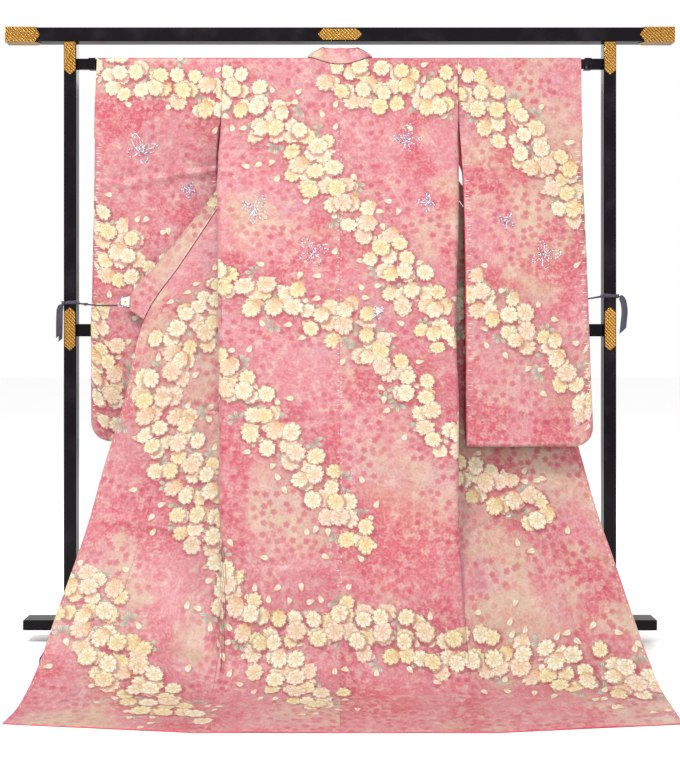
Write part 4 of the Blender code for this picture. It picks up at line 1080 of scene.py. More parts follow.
SLEEVE_CREASES = {
    LEFT: (
        (0.00, 0.288, -0.16, 0.318, -0.0022, 0.0050, True), (-0.14, 0.316, -0.35, 0.334, -0.0018, 0.0050, True),
        (0.00, 0.300, -0.33, 0.352, 0.0026, 0.0120, False), (-0.35, 0.640, -0.12, 0.652, 0.0016, 0.0100, False),
        (-0.35, 0.935, -0.24, 0.945, -0.0024, 0.0060, True), (-0.10, 0.420, -0.02, 0.560, 0.0018, 0.0130, False),
        (-0.30, 0.080, -0.24, 0.260, 0.0012, 0.0160, False), (-0.02, 0.760, -0.20, 0.900, 0.0020, 0.0140, False),
        (-0.32, 1.420, -0.02, 1.440, -0.0018, 0.0050, True), (-0.30, 1.760, -0.02, 1.752, 0.0016, 0.0100, False),
    ),
    RIGHT: (
        (0.00, 0.288, 0.06, 0.306, -0.0022, 0.0045, True), (0.05, 0.306, 0.16, 0.308, -0.0022, 0.0045, True),
        (0.15, 0.308, 0.35, 0.326, -0.0022, 0.0050, True), (0.00, 0.306, 0.34, 0.338, 0.0024, 0.0110, False),
        (0.00, 0.640, 0.35, 0.660, 0.0022, 0.0100, False), (0.27, 0.655, 0.35, 0.668, -0.0024, 0.0035, True),
        (0.30, 0.640, 0.35, 0.642, 0.0022, 0.0035, False), (0.00, 0.975, 0.18, 0.985, -0.0028, 0.0050, True),
        (0.16, 0.985, 0.35, 0.992, -0.0026, 0.0050, True), (0.02, 0.440, 0.10, 0.560, 0.0016, 0.0140, False),
        (0.24, 0.780, 0.31, 0.920, 0.0018, 0.0140, False), (0.02, 1.400, 0.33, 1.420, -0.0018, 0.0050, True),
        (0.02, 1.740, 0.33, 1.760, 0.0018, 0.0110, False), (-0.02, 1.036, 0.36, 1.036, 0.0026, 0.0260, False),
    ),
}
SLEEVE_SWELLS = ((4.3, 0.80, 1.1, 0.0010), (7.7, -1.50, 0.3, 0.0006), (2.1, 2.60, 2.0, 0.0009))
SLEEVE_BOTTOM = SHOULDER_Z - SLEEVE_LENGTH


# %% Sleeves
TUCK, TUCK_BEGINS, TUCK_ENDS = {LEFT: 0.004, RIGHT: 0.011}, (1.270, 1.318), (1.412, 1.440)


def sleeve_turn():
    """Once round a sleeve: share of the way down, and 1 on the outside face to -1 on the far one."""
    over = [(ROD_TURN * (1 - cos(t * pi / 2)) / SLEEVE_LENGTH, sin(t * pi / 2)) for t in np.linspace(0, 1, 7)]
    straight = 1 - SLEEVE_DEPTH / SLEEVE_LENGTH
    rows = 165
    hang = [(mix(over[-1][0], straight, k / rows), 1.0) for k in range(1, rows + 1)]
    under = [
        (1 - SLEEVE_DEPTH / SLEEVE_LENGTH * (1 - sin(t * pi / 2)), cos(t * pi / 2))
        for t in np.linspace(0.2, 1.0, 5)
    ]
    facing = over + hang + under
    return np.array(facing + [(share, -face) for share, face in reversed(facing[:-1])])


def behind_slit(side, up, face):
    """How far the far half of a sleeve reaches in behind the open seam under the arm."""
    return TUCK[side] * (face < 0) * ease(*TUCK_BEGINS, up) * (1 - ease(*TUCK_ENDS, up))


def sleeve_span(side, up, face):
    """How far out the inner and the outer edge of a sleeve hang at a height."""
    inner, outer = curve(SLEEVE_EDGES[side], up, 1), curve(SLEEVE_EDGES[side], up, 2)
    return inner - behind_slit(side, up, face), outer


def sleeve_grid(side):
    """Places, how far each is from the body's seam, and how far round from the shoulder."""
    turn = sleeve_turn()
    share, face = turn[:, 0], turn[:, 1]
    edge = (0.0, 0.0016, 0.004, 0.008, SLEEVE_DEPTH, 0.018, 0.026, 0.033, 0.040, 0.047, SLEEVE_CORNER)
    count = 50  # rings beyond the rounded corner
    rings, inwards = [], []
    for k in range(len(edge) + count):
        if k < len(edge):
            inward = np.full(len(share), edge[k])
        else:
            up = mix(SHOULDER_Z, SLEEVE_BOTTOM, share)
            inner, outer = sleeve_span(side, up, face)
            inward = mix(SLEEVE_CORNER, outer - inner, (k - len(edge) + 1) / count)
        corner = np.maximum(SLEEVE_CORNER - inward, 0.0)
        raised = SLEEVE_CORNER - np.sqrt(np.maximum(SLEEVE_CORNER**2 - corner**2, 0.0))
        up = mix(SHOULDER_Z, SLEEVE_BOTTOM + raised, share)
        shut = (inward < SLEEVE_DEPTH) & (share * SLEEVE_LENGTH > WRIST)
        narrowed = np.sqrt(np.maximum(1 - (1 - inward / SLEEVE_DEPTH) ** 2, 0.0))
        depth = SLEEVE_DEPTH * np.where(shut, narrowed, 1.0)
        inner, outer = sleeve_span(side, up, face)
        out = outer - inward
        at = (out - inner) / (outer - inner)
        swing = mix(curve(SLEEVE_SWING[side], up, 1), curve(SLEEVE_SWING[side], up, 2), at)
        rings.append(np.stack((out, swing + face * depth, up), axis=-1))
        inwards.append(inward)
    down = share[: len(share) // 2 + 1] * SLEEVE_LENGTH
    round_way = np.concatenate((down, 2 * SLEEVE_LENGTH - down[:-1][::-1]))
    inward = np.array(inwards)
    inner, outer = (curve(SLEEVE_EDGES[side], mix(SHOULDER_Z, SLEEVE_BOTTOM, share), c) for c in (1, 2))
    from_seam = (outer - inner)[None, :] - inward
    v = np.repeat(round_way[None, :], len(inward), axis=0)
    return world_place(side, np.array(rings)), from_seam, v, inward


for side in (LEFT, RIGHT):
    grid, from_seam, v, inward = sleeve_grid(side)
    lift = crease_lift(side * from_seam, v, SLEEVE_CREASES[side]) + swells(side * from_seam, v, SLEEVE_SWELLS)
    lift = lift * ease(0.0, 0.05, v) * ease(0.0, 0.05, 2 * SLEEVE_LENGTH - v)
    lift = lift * (1 - 0.8 * np.exp(-np.abs(v - SLEEVE_LENGTH) / 0.02)) * ease(-0.002, 0.02, inward)
    down = np.minimum(v, 2 * SLEEVE_LENGTH - v)
    lift = lift * (1 - np.exp(-((from_seam / 0.018) ** 2)) * (1 - ease(0.14, 0.22, down)))
    sewn("sleeve", side, grid, from_seam, v, lift)

# %% [markdown]
# ## The collar
# One long band runs from the left front edge, round the back of the neck, to the right front edge. It is
# folded double, so it is thicker than the rest. Behind the neck it stands up in a shallow peak.

# %% Collar
COLLAR_LEAN = (
    (-1.00, 0.00, -0.10, 0.99, 0.046), (-0.50, -0.14, -0.24, 0.82, 0.042), (0.00, -0.74, -0.26, 0.56, 0.032),
    (0.05, -0.30, -0.85, 0.22, 0.036), (0.10, 0.25, -0.93, 0.25, 0.040), (0.20, 0.75, -0.45, 0.46, 0.038),
    (0.30, 0.83, -0.15, 0.54, 0.034), (0.42, 0.82, 0.00, 0.57, 0.032), (0.60, 0.82, 0.02, 0.57, 0.048),
    (0.80, 0.82, 0.04, 0.57, 0.066),
)
COLLAR_GAP, NECK_RISE = 0.0013, 0.005  # beside its seam, and of its peak behind the neck


def collar_seam(side, v):
    if v >= 0:
        return front_edge(side, v)
    out = NECK_HALF * (1 + v)
    forward, up = fall(NECK_DROP * (1 - (out / NECK_HALF) ** 2))
    return out, float(forward), float(up)


def way_along(path):
    """Length so far at each point of a path."""
    return np.concatenate(([0.0], np.cumsum(np.linalg.norm(np.diff(path, axis=0), axis=1))))


def hump(v, middle, reach):
    """1 at the middle, falling straight to 0 at its reach on both sides."""
    return max(1 - abs(v - middle) / reach, 0.0)


def collar_place(side, v, across):
    """A place on the collar, from 0 at its seam to 1 at its free edge."""
    out, forward, up = collar_seam(side, v)
    lean = [float(curve(COLLAR_LEAN, v, column)) for column in (1, 2, 3)]
    size = sqrt(sum(x * x for x in lean))
    gap = COLLAR_GAP * (1 + 0.8 * hump(v, 0.06, 0.12))
    reach = (gap + across * float(curve(COLLAR_LEAN, v, 4))) / size
    rise = 4 * across * (1 - across) * NECK_RISE * hump(v, -0.1, 0.45)
    return out + lean[0] * reach, forward + lean[1] * reach, up + lean[2] * reach + rise


half = np.concatenate((np.linspace(-1.0, 0.0, 15), np.linspace(0.0, COLLAR_END, 150)[1:]))
stops = [(LEFT, v) for v in half[::-1]] + [(RIGHT, v) for v in half[1:]]
across = np.array([0.0, 0.02, 0.06, 0.14, 0.26, 0.38, 0.5, 0.62, 0.74, 0.86, 0.94, 0.98, 1.0])
grid = np.array([
    world_place(side, np.array([collar_place(side, v, a) for a in across])) for side, v in stops
])
places, ids, first = merge(grid)
normals = soft_normals(places, ids.reshape(-1)[grid_faces(ids)])[ids]
length = way_along(grid[:, len(across) // 2])
width = np.array([float(curve(COLLAR_LEAN, v, 4)) for _, v in stops])
canvas = np.stack(
    (3.0 + across[None, :] * width[:, None], np.repeat(length[:, None], len(across), axis=1)), axis=-1
)
edge = np.minimum(across, 1 - across)[None, :] * width[:, None]
rounding = -0.0012 * np.exp(-((edge / 0.0018) ** 2))
rounding = rounding + swells(canvas[..., 0], canvas[..., 1], ((0.0, 6.1, 0.2, 0.0006),))
grid = grid + normals * COLLAR_WALL / 2
piece = cloth("silk_collar", grid, canvas, rounding, False, (silk["collar"],) * 3, COLLAR_WALL)
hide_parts("collar")
made["collar"] = piece

# %% [markdown]
# ## Black lacquer and engraved brass
# The stand is turned out in deep gloss black. Its ends and crossings carry brass plates with a raised
# rim, engraved all over with a slanting basket weave.

# %% Lacquer
def lacquer():
    paint = Painter("black_lacquer", (0.004, 0.003, 0.004), 0.14)
    at = paint.place()
    dust = paint.cloud(at, 14.0, 5.0)
    paint.join(paint.ramp(dust, 0.35, 0.75, 0.12, 0.30), "Roughness")
    orange = paint.cloud(at, 95.0, 2.0)
    paint.relief(orange, 0.12, 0.0004)
    tone = paint.blend((0.004, 0.003, 0.004), (0.010, 0.008, 0.011), paint.ramp(dust, 0.45, 0.8))
    paint.join(tone, "Base Color")
    paint.amounts({"Specular IOR Level": 0.07, "Coat Weight": 0.03, "Coat Roughness": 0.06})
    return paint.finish


black = lacquer()
STAND = (
    "top_rail", "base_rail", "mid_rail", "post_left", "post_right", "foot_left", "foot_right", "sleeve_rod",
)


def refinish(names, finish):
    """Give a new finish to nodes that stay as the frame made them."""
    for name in names:
        for slot in bpy.data.objects[name].material_slots:
            slot.material = finish


refinish(STAND, black)


# %% Engraved brass
def engraved_brass():
    paint = Painter("engraved_brass", srgb(176, 138, 70), 0.34, 1.0)
    at = paint.split(paint.place())
    # two sets of slanting grooves, taken over x and whatever runs round the bar
    other = paint.plus(at[1], at[2])
    grooves = []
    for sign, pitch in ((1.0, 0.0094), (-1.0, 0.0112)):
        slant = paint.math("MULTIPLY_ADD", other, sign, at[0])
        saw = paint.math("FRACT", paint.math("MULTIPLY_ADD", slant, 1 / pitch, 20.0))
        grooves.append(paint.math("ABSOLUTE", paint.minus(saw, 0.5)))
    deep = paint.math("MINIMUM", *grooves)
    line = paint.ramp(deep, 0.06, 0.20, 0.0, 1.0)
    first = paint.ramp(grooves[0], 0.08, 0.26, 0.0, 1.0)
    check = paint.math("GREATER_THAN", grooves[0], grooves[1])
    fine = paint.math("SINE", paint.times(paint.math("MULTIPLY_ADD", check, 0.9, at[0]), 4200.0))
    height = paint.math("MULTIPLY_ADD", fine, 0.12, paint.plus(line, first))
    tone = paint.blend(srgb(62, 40, 16), srgb(164, 124, 62), first)
    tone = paint.blend(tone, srgb(120, 82, 34), paint.times(paint.minus(1.0, line), 0.6))
    paint.join(tone, "Base Color")
    paint.relief(height, 0.7, 0.0007)
    return paint.finish


brass = engraved_brass()
plates = [n for n in frame["nodes"] if n.startswith(("rail_cap", "rail_plate", "post_plate"))]
refinish(plates, brass)
print("brass plates:", len(plates))

# %% [markdown]
# ## Ties, clips and rod ends
# A spring clip grips each tip of the collar, and a flat satin tape leads from its wire loop to the post.
# The tape is gathered into a cord where it is drawn tight. It goes once round the post and is knotted on
# the outer side, where its ends hang down.

# %% A satin tape along a path
def satin():
    paint = Painter("violet_satin", srgb(46, 37, 60), 0.46)
    at = paint.flat()
    threads = paint.scaled(at, (2600.0, 60.0, 1.0))
    weave = paint.noise(threads, 1.0, 1.0)
    folds = paint.scaled(at, (520.0, 18.0, 1.0))
    fold = paint.noise(folds, 1.0, 2.0)
    # painted shade and sheen: the satin is darker in the hollows of its folds and lighter on their ridges, where
    # the relief raises them
    tone = paint.blend(srgb(17, 12, 26), srgb(46, 38, 60), paint.ramp(fold, 0.30, 0.70))
    tone = paint.tint(tone, (28, 20, 42), weave, 0.45, 0.75, 0.0, 0.45)
    paint.join(tone, "Base Color")
    height = paint.math("MULTIPLY_ADD", fold, 4.0, weave)
    paint.relief(height, 0.5, 0.0004)
    paint.amounts({"Sheen Weight": 0.05})
    return paint.finish


violet = satin()


def rounded(points, reach=0.004, step=0.0016):
    """A path through points, in short steps, with each corner turned in a small curve."""
    points = [Vector(p) for p in points]
    line = [points[0]]
    for before, corner, after in zip(points, points[1:], points[2:]):
        near = min(reach, (corner - before).length / 2.1, (after - corner).length / 2.1)
        a = corner + (before - corner).normalized() * near
        b = corner + (after - corner).normalized() * near
        line.extend(a * (1 - t) ** 2 + corner * 2 * t * (1 - t) + b * t * t for t in np.linspace(0, 1, 7))
    line.append(points[-1])
    path = [line[0]]
    for a, b in zip(line, line[1:]):
        count = max(int(np.ceil((b - a).length / step)), 1)
        path.extend(a.lerp(b, k / count) for k in range(1, count + 1))
    return np.array([tuple(p) for p in path])


def path_length(path):
    return float(np.linalg.norm(np.diff(path, axis=0), axis=1).sum())


def tape(name, path, wide, thick, across, slant=0.0, ripple=0.0):
    """A flat tape: its width, thickness and direction across at each point of its path."""
    count = len(path)
    along = np.gradient(path, axis=0)
    along /= np.linalg.norm(along, axis=1, keepdims=True)
    wide, thick, ripple = (np.broadcast_to(np.asarray(x, float), count) for x in (wide, thick, ripple))
    across = np.array(np.broadcast_to(np.asarray(across, float), (count, 3)))
    across -= along * (across * along).sum(axis=1, keepdims=True)
    across /= np.linalg.norm(across, axis=1, keepdims=True)
    out = np.cross(along, across)
    ring = 22  # corners round the tape
    angle = np.linspace(0, 2 * pi, ring, endpoint=False)
    side_way = np.sign(np.cos(angle)) * np.abs(np.cos(angle)) ** 0.8
    face_way = np.sin(angle)
    share = np.linspace(0, 1, count)
    cut = slant * ease(0.55, 1.0, share)
    rings = []
    for k in range(count):
        wave = ripple[k] * np.cos(3.2 * side_way + 0.8 * sin(5 * share[k]))
        rings.append(
            path[k]
            + across[k] * (side_way * wide[k] / 2)[:, None]
            + out[k] * (face_way * thick[k] / 2 + wave)[:, None]
            + along[k] * (side_way * wide[k] / 2 * cut[k])[:, None]
        )
    places = np.array(rings)
    down = way_along(path)
    polygons, uvs = [], []
    for k in range(count - 1):
        for j in range(ring):
            after = (j + 1) % ring
            polygons.append((k * ring + j, (k + 1) * ring + j, (k + 1) * ring + after, k * ring + after))
            for row, col in ((k, j), (k + 1, j), (k + 1, after), (k, after)):
                uvs.append((side_way[col] * wide[row] / 2, down[row]))
    for k, order in ((0, 1), (count - 1, -1)):
        polygons.append([k * ring + j for j in range(ring)][::order])
        uvs.extend((side_way[j] * wide[k] / 2, down[k]) for j in list(range(ring))[::order])
    numbers = [0] * len(polygons)
    return mesh_piece(name, places.reshape(-1, 3).tolist(), polygons, (violet,), numbers, uvs)


def loop(name, middle, radius, turns, travel, wide):
    """A few turns of the tape about a level line, drawn in as a knot."""
    t = np.linspace(0, 1, int(26 * turns))
    angle = 2 * pi * turns * t
    path = np.stack((
        middle[0] + travel * (t - 0.5) + 0.0012 * np.sin(1.5 * angle),
        middle[1] + radius * np.cos(angle), middle[2] + radius * 1.15 * np.sin(angle),
    ), axis=-1)
    return tape(name, path, wide, 0.0016, (1.0, 0.15, 0.1), ripple=0.0003)


# %% The ties
TIE_WIDE, TIE_CLEAR, TIE_Z = 0.008, 0.0012, {LEFT: 0.919, RIGHT: 0.938}
TIE_FRONT, TIE_BACK = POST_DEEP / 2 + 0.001 + 0.0003 + TIE_CLEAR, -POST_DEEP / 2 - TIE_CLEAR
CLIP_AT = {LEFT: (0.5640, 0.9120), RIGHT: (0.5960, 0.9300)}


def spot_at(side, out, forward, up):
    return tuple(world_place(side, np.array((out, forward, up))))


def tie_path(side):
    """From the clip's loop to the post and once round it."""
    out, up = CLIP_AT[side]
    z = TIE_Z[side]
    forward = collar_place(side, COLLAR_END, 0.8)[1]
    near, far = POST_X - POST_WIDE / 2 - TIE_CLEAR, POST_X + POST_WIDE / 2 + TIE_CLEAR
    begin = (out + 0.030, forward, up)
    ways = (
        begin, (mix(begin[0], near, 0.5), mix(forward, TIE_FRONT, 0.5), mix(up, z, 0.5) - 0.003),
        (near - 0.002, TIE_FRONT - 0.002, z), (near + 0.004, TIE_FRONT, z), (far, TIE_FRONT, z + 0.001),
        (far, 0.0, z + 0.001), (far, TIE_BACK, z + 0.001), (near, TIE_BACK, z + 0.002),
        (near, 0.0, z + 0.003), (near, TIE_FRONT + 0.0016, z + 0.004),
        (far - 0.004, TIE_FRONT + 0.0016, z + 0.0015),
    )
    return rounded([spot_at(side, *way) for way in ways])


# width of the tape at each share of its way: gathered to a cord, then opening out where it goes round
GATHER = {
    LEFT: (
        (0.00, 0.0040, 0.0030), (0.30, 0.0042, 0.0030), (0.42, 0.0056, 0.0024), (0.52, 0.0080, 0.0014),
        (1.00, 0.0080, 0.0014),
    ),
    RIGHT: (
        (0.00, 0.0040, 0.0032), (0.20, 0.0044, 0.0030), (0.34, 0.0066, 0.0020), (0.46, 0.0080, 0.0014),
        (1.00, 0.0080, 0.0014),
    ),
}
# each tail: its points out from the post's middle, forward and up from the tie, its width and its cut
TAILS = {
    LEFT: (
        ((
            (0.0170, 0.0240, -0.004), (0.0200, 0.0260, -0.008), (0.0225, 0.0262, -0.020),
            (0.0230, 0.0255, -0.050), (0.0242, 0.0252, -0.100),
        ), 0.0105, 0.9),
        ((
            (0.0170, 0.0250, -0.002), (0.0230, 0.0280, -0.005), (0.0285, 0.0280, -0.016),
            (0.0300, 0.0270, -0.040), (0.0306, 0.0262, -0.090),
        ), 0.0110, 0.9),
    ),
    RIGHT: (
        ((
            (0.0170, 0.0240, -0.004), (0.0250, 0.0270, 0.001), (0.0340, 0.0275, -0.012),
            (0.0385, 0.0268, -0.040), (0.0330, 0.0258, -0.094),
        ), 0.0175, -1.1),
    ),
}
for side in (LEFT, RIGHT):
    name = SIDE_NAME[side]
    path = tie_path(side)
    share = np.linspace(0, 1, len(path))
    rows = GATHER[side]
    wide, thick = curve(rows, share, 1), curve(rows, share, 2)
    tie = tape("satin_tie_" + name, path, wide, thick, (0, 0, 1), ripple=0.0002)
    spot = Vector(spot_at(side, POST_X + 0.0175, 0.0225, TIE_Z[side]))
    knot = loop("satin_knot_" + name, spot, 0.0042, 2.4, side * 0.006, 0.0062)
    if side == LEFT:
        place = path[int(len(path) * 0.30)]
        loop("small_knot_" + name, place, 0.0026, 2.2, 0.007, 0.0040)
    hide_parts("tie_" + name)
    for number, (points, wide, slant) in enumerate(TAILS[side]):
        places = [spot_at(side, POST_X + a, b, TIE_Z[side] + c) for a, b, c in points]
        way = rounded(places, reach=0.011, step=0.0022)
        grow = ease(0.0, 0.22, np.linspace(0, 1, len(way)))
        tail = tape(
            "satin_tail_%s_%d" % (name, number + 1), way, mix(0.0055, wide, grow), mix(0.0024, 0.0012, grow),
            (1.0, 0.12, 0.0), slant=slant * side, ripple=mix(0.0002, 0.0008, grow),
        )
        if number == 0:
            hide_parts("tie_tail_" + name)
    print("tie", name, round(path_length(path), 3), "m")


# %% Working by hand
def begin_piece(kind, name, place, **settings):
    """Add a primitive with nothing else selected, and name it."""
    bpy.ops.object.select_all(action="DESELECT")
    getattr(bpy.ops.mesh, kind)(location=place, **settings)
    piece = bpy.context.object
    piece.name = piece.data.name = name
    return piece


def scaled(piece, sizes):
    """Stretch a primitive, and keep that as its own size."""
    piece.scale = sizes
    bpy.ops.object.transform_apply(location=False, rotation=False, scale=True)


def pick_faces(piece, test):
    """Go to edit mode with just the faces that pass the test selected."""
    bpy.ops.object.mode_set(mode="EDIT")
    bpy.ops.mesh.select_mode(type="FACE")
    bpy.ops.mesh.select_all(action="DESELECT")
    bpy.ops.object.mode_set(mode="OBJECT")
    for face in piece.data.polygons:
        face.select = bool(test(face))
    bpy.ops.object.mode_set(mode="EDIT")


def end_piece(piece, finish, smooth=35.0, bevel=None, levels=0):
    """Apply the last modifiers, bring the origin back to the frame's, and give the piece its finish."""
    if bpy.context.mode != "OBJECT":
        bpy.ops.object.mode_set(mode="OBJECT")
    bpy.ops.object.transform_apply(location=True, rotation=True, scale=True)
    if bevel:
        made = piece.modifiers.new("bevel", "BEVEL")
        made.width, made.segments, made.limit_method, made.angle_limit = bevel, 2, "ANGLE", radians(30)
        bpy.ops.object.modifier_apply(modifier="bevel")
    if levels:
        made = piece.modifiers.new("smooth", "SUBSURF")
        made.levels = levels
        bpy.ops.object.modifier_apply(modifier="smooth")
    bpy.ops.object.shade_smooth_by_angle(angle=radians(smooth))
    piece.data.materials.clear()
    piece.data.materials.append(finish)
    return riding(piece)


# %% Finishes of the clips
def speckled(name, low, high, roughness, metallic, scale, bump_size):
    """A finish that wanders between two colours, with a fine relief."""
    paint = Painter(name, high, roughness, metallic)
    at = paint.place()
    cloud = paint.cloud(at, scale, 3.0)
    paint.join(paint.blend(low, high, paint.ramp(cloud, 0.35, 0.65)), "Base Color")
    paint.join(paint.ramp(cloud, 0.3, 0.7, roughness * 0.7, roughness * 1.2), "Roughness")
    paint.relief(cloud, 0.25, bump_size)
    return paint.finish


pearl = speckled("pearl_enamel", srgb(226, 220, 208), srgb(250, 248, 244), 0.22, 0.0, 260.0, 0.0003)
gilt = speckled("clip_gilt", srgb(176, 132, 58), srgb(226, 190, 112), 0.26, 1.0, 420.0, 0.0002)
steel = speckled("bright_wire", srgb(150, 150, 152), srgb(214, 214, 216), 0.24, 1.0, 700.0, 0.0001)


# %% The clips
def wire(name, points, radius, finish, closed=False):
    """A bent wire as a mesh: a bevelled curve through the points, converted."""
    bpy.ops.object.select_all(action="DESELECT")
    data = bpy.data.curves.new(name, "CURVE")
    data.dimensions = "3D"
    data.bevel_depth, data.bevel_resolution, data.use_fill_caps = radius, 2, True
    line = data.splines.new("POLY")
    line.points.add(len(points) - 1)
    for point, place in zip(line.points, points):
        point.co = (*place, 1)
    line.use_cyclic_u = closed
    piece = bpy.data.objects.new(name, data)
    bpy.context.collection.objects.link(piece)
    piece.select_set(True)
    bpy.context.view_layer.objects.active = piece
    bpy.ops.object.convert(target="MESH")
    piece = bpy.context.object
    piece.name = piece.data.name = name
    return end_piece(piece, finish, smooth=60.0)


for side in (LEFT, RIGHT):
    name = SIDE_NAME[side]
    low, high = (Vector(c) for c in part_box("clip_" + name))
    middle, size = (low + high) / 2, high - low
    for face, y in (("front", low.y + 0.0014), ("back", high.y - 0.0014)):
        place = (middle.x, y, middle.z)
        jaw = begin_piece("primitive_cube_add", "clip_jaw_%s_%s" % (face, name), place, size=1)
        scaled(jaw, (size.x * 0.74, 0.0026, size.z * 0.98))
        # narrow the end that carries the loop, then raise a rim round a sunk field
        pick_faces(jaw, lambda f: f.normal.x * side > 0.9)
        bpy.ops.transform.resize(value=(1, 1, 0.52))
        pick_faces(jaw, lambda f: abs(f.normal.y) > 0.9)
        bpy.ops.mesh.inset(thickness=0.0020, depth=0.0)
        bpy.ops.mesh.inset(thickness=0.0006, depth=-0.0005)
        bpy.ops.mesh.subdivide(number_cuts=2)
        end_piece(jaw, pearl, bevel=0.0005, levels=1)
    root_x = middle.x + side * size.x * 0.20
    barrel = begin_piece(
        "primitive_cylinder_add", "clip_barrel_" + name, (root_x, middle.y, middle.z),
        vertices=20, radius=0.0026, depth=size.z * 0.62,
    )
    pick_faces(barrel, lambda f: abs(f.normal.z) > 0.9)
    bpy.ops.mesh.inset(thickness=0.0008, depth=0.0006)
    end_piece(barrel, steel, bevel=0.0003)
    stone = begin_piece(
        "primitive_uv_sphere_add", "clip_stone_" + name, (middle.x - side * 0.001, low.y + 0.0004, middle.z),
        segments=20, ring_count=12, radius=0.0046,
    )
    scaled(stone, (0.9, 0.26, 1.25))
    pick_faces(stone, lambda f: f.center.y < -0.0008)
    bpy.ops.mesh.inset(thickness=0.0007, depth=0.0003)
    end_piece(stone, gilt, levels=1)
    # the loop: a triangle of wire from the barrel's two ends to the tie
    tip = Vector(tuple(tie_path(side)[0]))
    reach = size.z * 0.50
    triangle = rounded([
        (root_x, middle.y, middle.z + reach * 0.55), (root_x + side * 0.002, middle.y, middle.z + reach),
        (tip.x + side * 0.0015, tip.y, tip.z + 0.0012), (tip.x + side * 0.0015, tip.y, tip.z - 0.0012),
        (root_x + side * 0.002, middle.y, middle.z - reach), (root_x, middle.y, middle.z - reach * 0.55),
    ], reach=0.0022, step=0.0015)
    wire("clip_loop_" + name, triangle.tolist(), 0.0010, steel)
    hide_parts("clip_" + name)

# %% Ferrules where the rod meets the posts
rod_low, rod_high = (Vector(c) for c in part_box("sleeve_rod"))
for side in (LEFT, RIGHT):
    outer = POST_X - POST_WIDE / 2
    place = (side * (outer - 0.0405), (rod_low.y + rod_high.y) / 2, (rod_low.z + rod_high.z) / 2)
    ring = begin_piece("primitive_cube_add", "rod_ferrule_" + SIDE_NAME[side], place, size=1)
    scaled(ring, (0.018, rod_high.y - rod_low.y + 0.0030, rod_high.z - rod_low.z + 0.0030))
    pick_faces(ring, lambda f: abs(f.normal.x) > 0.9)
    bpy.ops.mesh.inset(thickness=0.0012, depth=0.0008)
    end_piece(ring, black, bevel=0.0007)

# %% [markdown]
# ## Rims of the brass plates
# Each plate has a raised rim, worked here along the outline of its own front face, and two round nails.

# %% Rims and nails
MOST_CORNERS, STRAIGHT = 400, radians(6)  # of an outline, and the least turn that counts as a corner


def outline_of(node):
    """The outline of a node's front face, in order, and the plane it lies in."""
    mesh = node.data
    front = [f for f in mesh.polygons if f.normal.y < -0.98]
    plane = min(f.center.y for f in front)
    front = [f for f in front if f.center.y < plane + 0.0002]
    edges = {}
    for face in front:
        ring = list(face.vertices)
        for a, b in zip(ring, ring[1:] + ring[:1]):
            edges[(a, b)] = True
    after = {a: b for a, b in edges if (b, a) not in edges}
    start = here = next(iter(after))
    order = []
    while True:
        order.append(here)
        here = after[here]
        if here == start or len(order) > MOST_CORNERS:
            break
    points = [node.matrix_world @ mesh.vertices[k].co for k in order]
    # drop points on straight runs
    kept = []
    for before, point, later in zip(points[-1:] + points[:-1], points, points[1:] + points[:1]):
        if (point - before).normalized().angle((later - point).normalized(), 0) > STRAIGHT:
            kept.append(point)
    return kept, plane


def inset_outline(points, by):
    middle = sum((Vector((p.x, p.z)) for p in points), Vector((0, 0))) / len(points)
    made = []
    for before, point, later in zip(points[-1:] + points[:-1], points, points[1:] + points[:1]):
        a, b, c = (Vector((p.x, p.z)) for p in (before, point, later))
        first, second = (b - a).normalized(), (c - b).normalized()
        turned = [Vector((-d.y, d.x)) for d in (first, second)]
        turned = [t if t.dot(middle - b) > 0 else -t for t in turned]
        lean = (turned[0] + turned[1]) / 2
        made.append(b + lean * (by / max(lean.length_squared, 0.25)))
    return made


rim_brass = speckled("polished_brass", srgb(188, 142, 66), srgb(230, 190, 110), 0.25, 1.0, 300.0, 0.0002)
nail = None
for name in plates:
    points, plane = outline_of(bpy.data.objects[name])
    rim = inset_outline(points, 0.0012)
    wire("rim_" + name, [(p.x, plane - 0.0001, p.y) for p in rim], 0.0011, rim_brass, closed=True)
    xs, zs = [p.x for p in points], [p.z for p in points]
    if name.startswith("post_plate"):
        spots = [((min(xs) + max(xs)) / 2, mix(min(zs), max(zs), share)) for share in (0.16, 0.80)]
    else:
        spots = [(mix(min(xs), max(xs), share), (min(zs) + max(zs)) / 2) for share in (0.12, 0.80)]
    for number, (x, z) in enumerate(spots):
        if nail is None:
            nail = begin_piece(
                "primitive_uv_sphere_add", "nail_%s_%d" % (name, number), (0, 0, 0),
                segments=14, ring_count=8, radius=0.0019,
            )
            scaled(nail, (1.0, 0.42, 1.0))
            pick_faces(nail, lambda f: f.center.y > 0.0003)
            bpy.ops.transform.resize(value=(1.25, 1.0, 1.25))
            end_piece(nail, brass)
            piece = nail
            shape = nail.data.copy()
        else:
            piece = bpy.data.objects.new("nail_%s_%d" % (name, number), shape.copy())
            bpy.context.collection.objects.link(piece)
            riding(piece)
        piece.data.transform(Matrix.Translation((x, plane - 0.0001, z)))

# %% [markdown]
# ## Beads and stitches
# Small butterflies are worked on the silk in glass beads, and threads show along the sewn edges. Each bead
# and each stitch is dropped on to the cloth that lies under it.

# %% Dropping things on to cloth
from mathutils.bvhtree import BVHTree

everything = bpy.context.evaluated_depsgraph_get()
CLOTH = {name: BVHTree.FromObject(piece, everything) for name, piece in made.items()}


def drop(start, way, names=None, far=8.0):
    """The first cloth met from start along way: point, normal towards the start, distance and name."""
    best = None
    for name in names or CLOTH:
        spot, normal, _, distance = CLOTH[name].ray_cast(Vector(start), Vector(way).normalized(), far)
        if spot is not None and (best is None or distance < best[2]):
            best = (spot, normal if normal.dot(way) < 0 else -normal, distance, name)
    return best


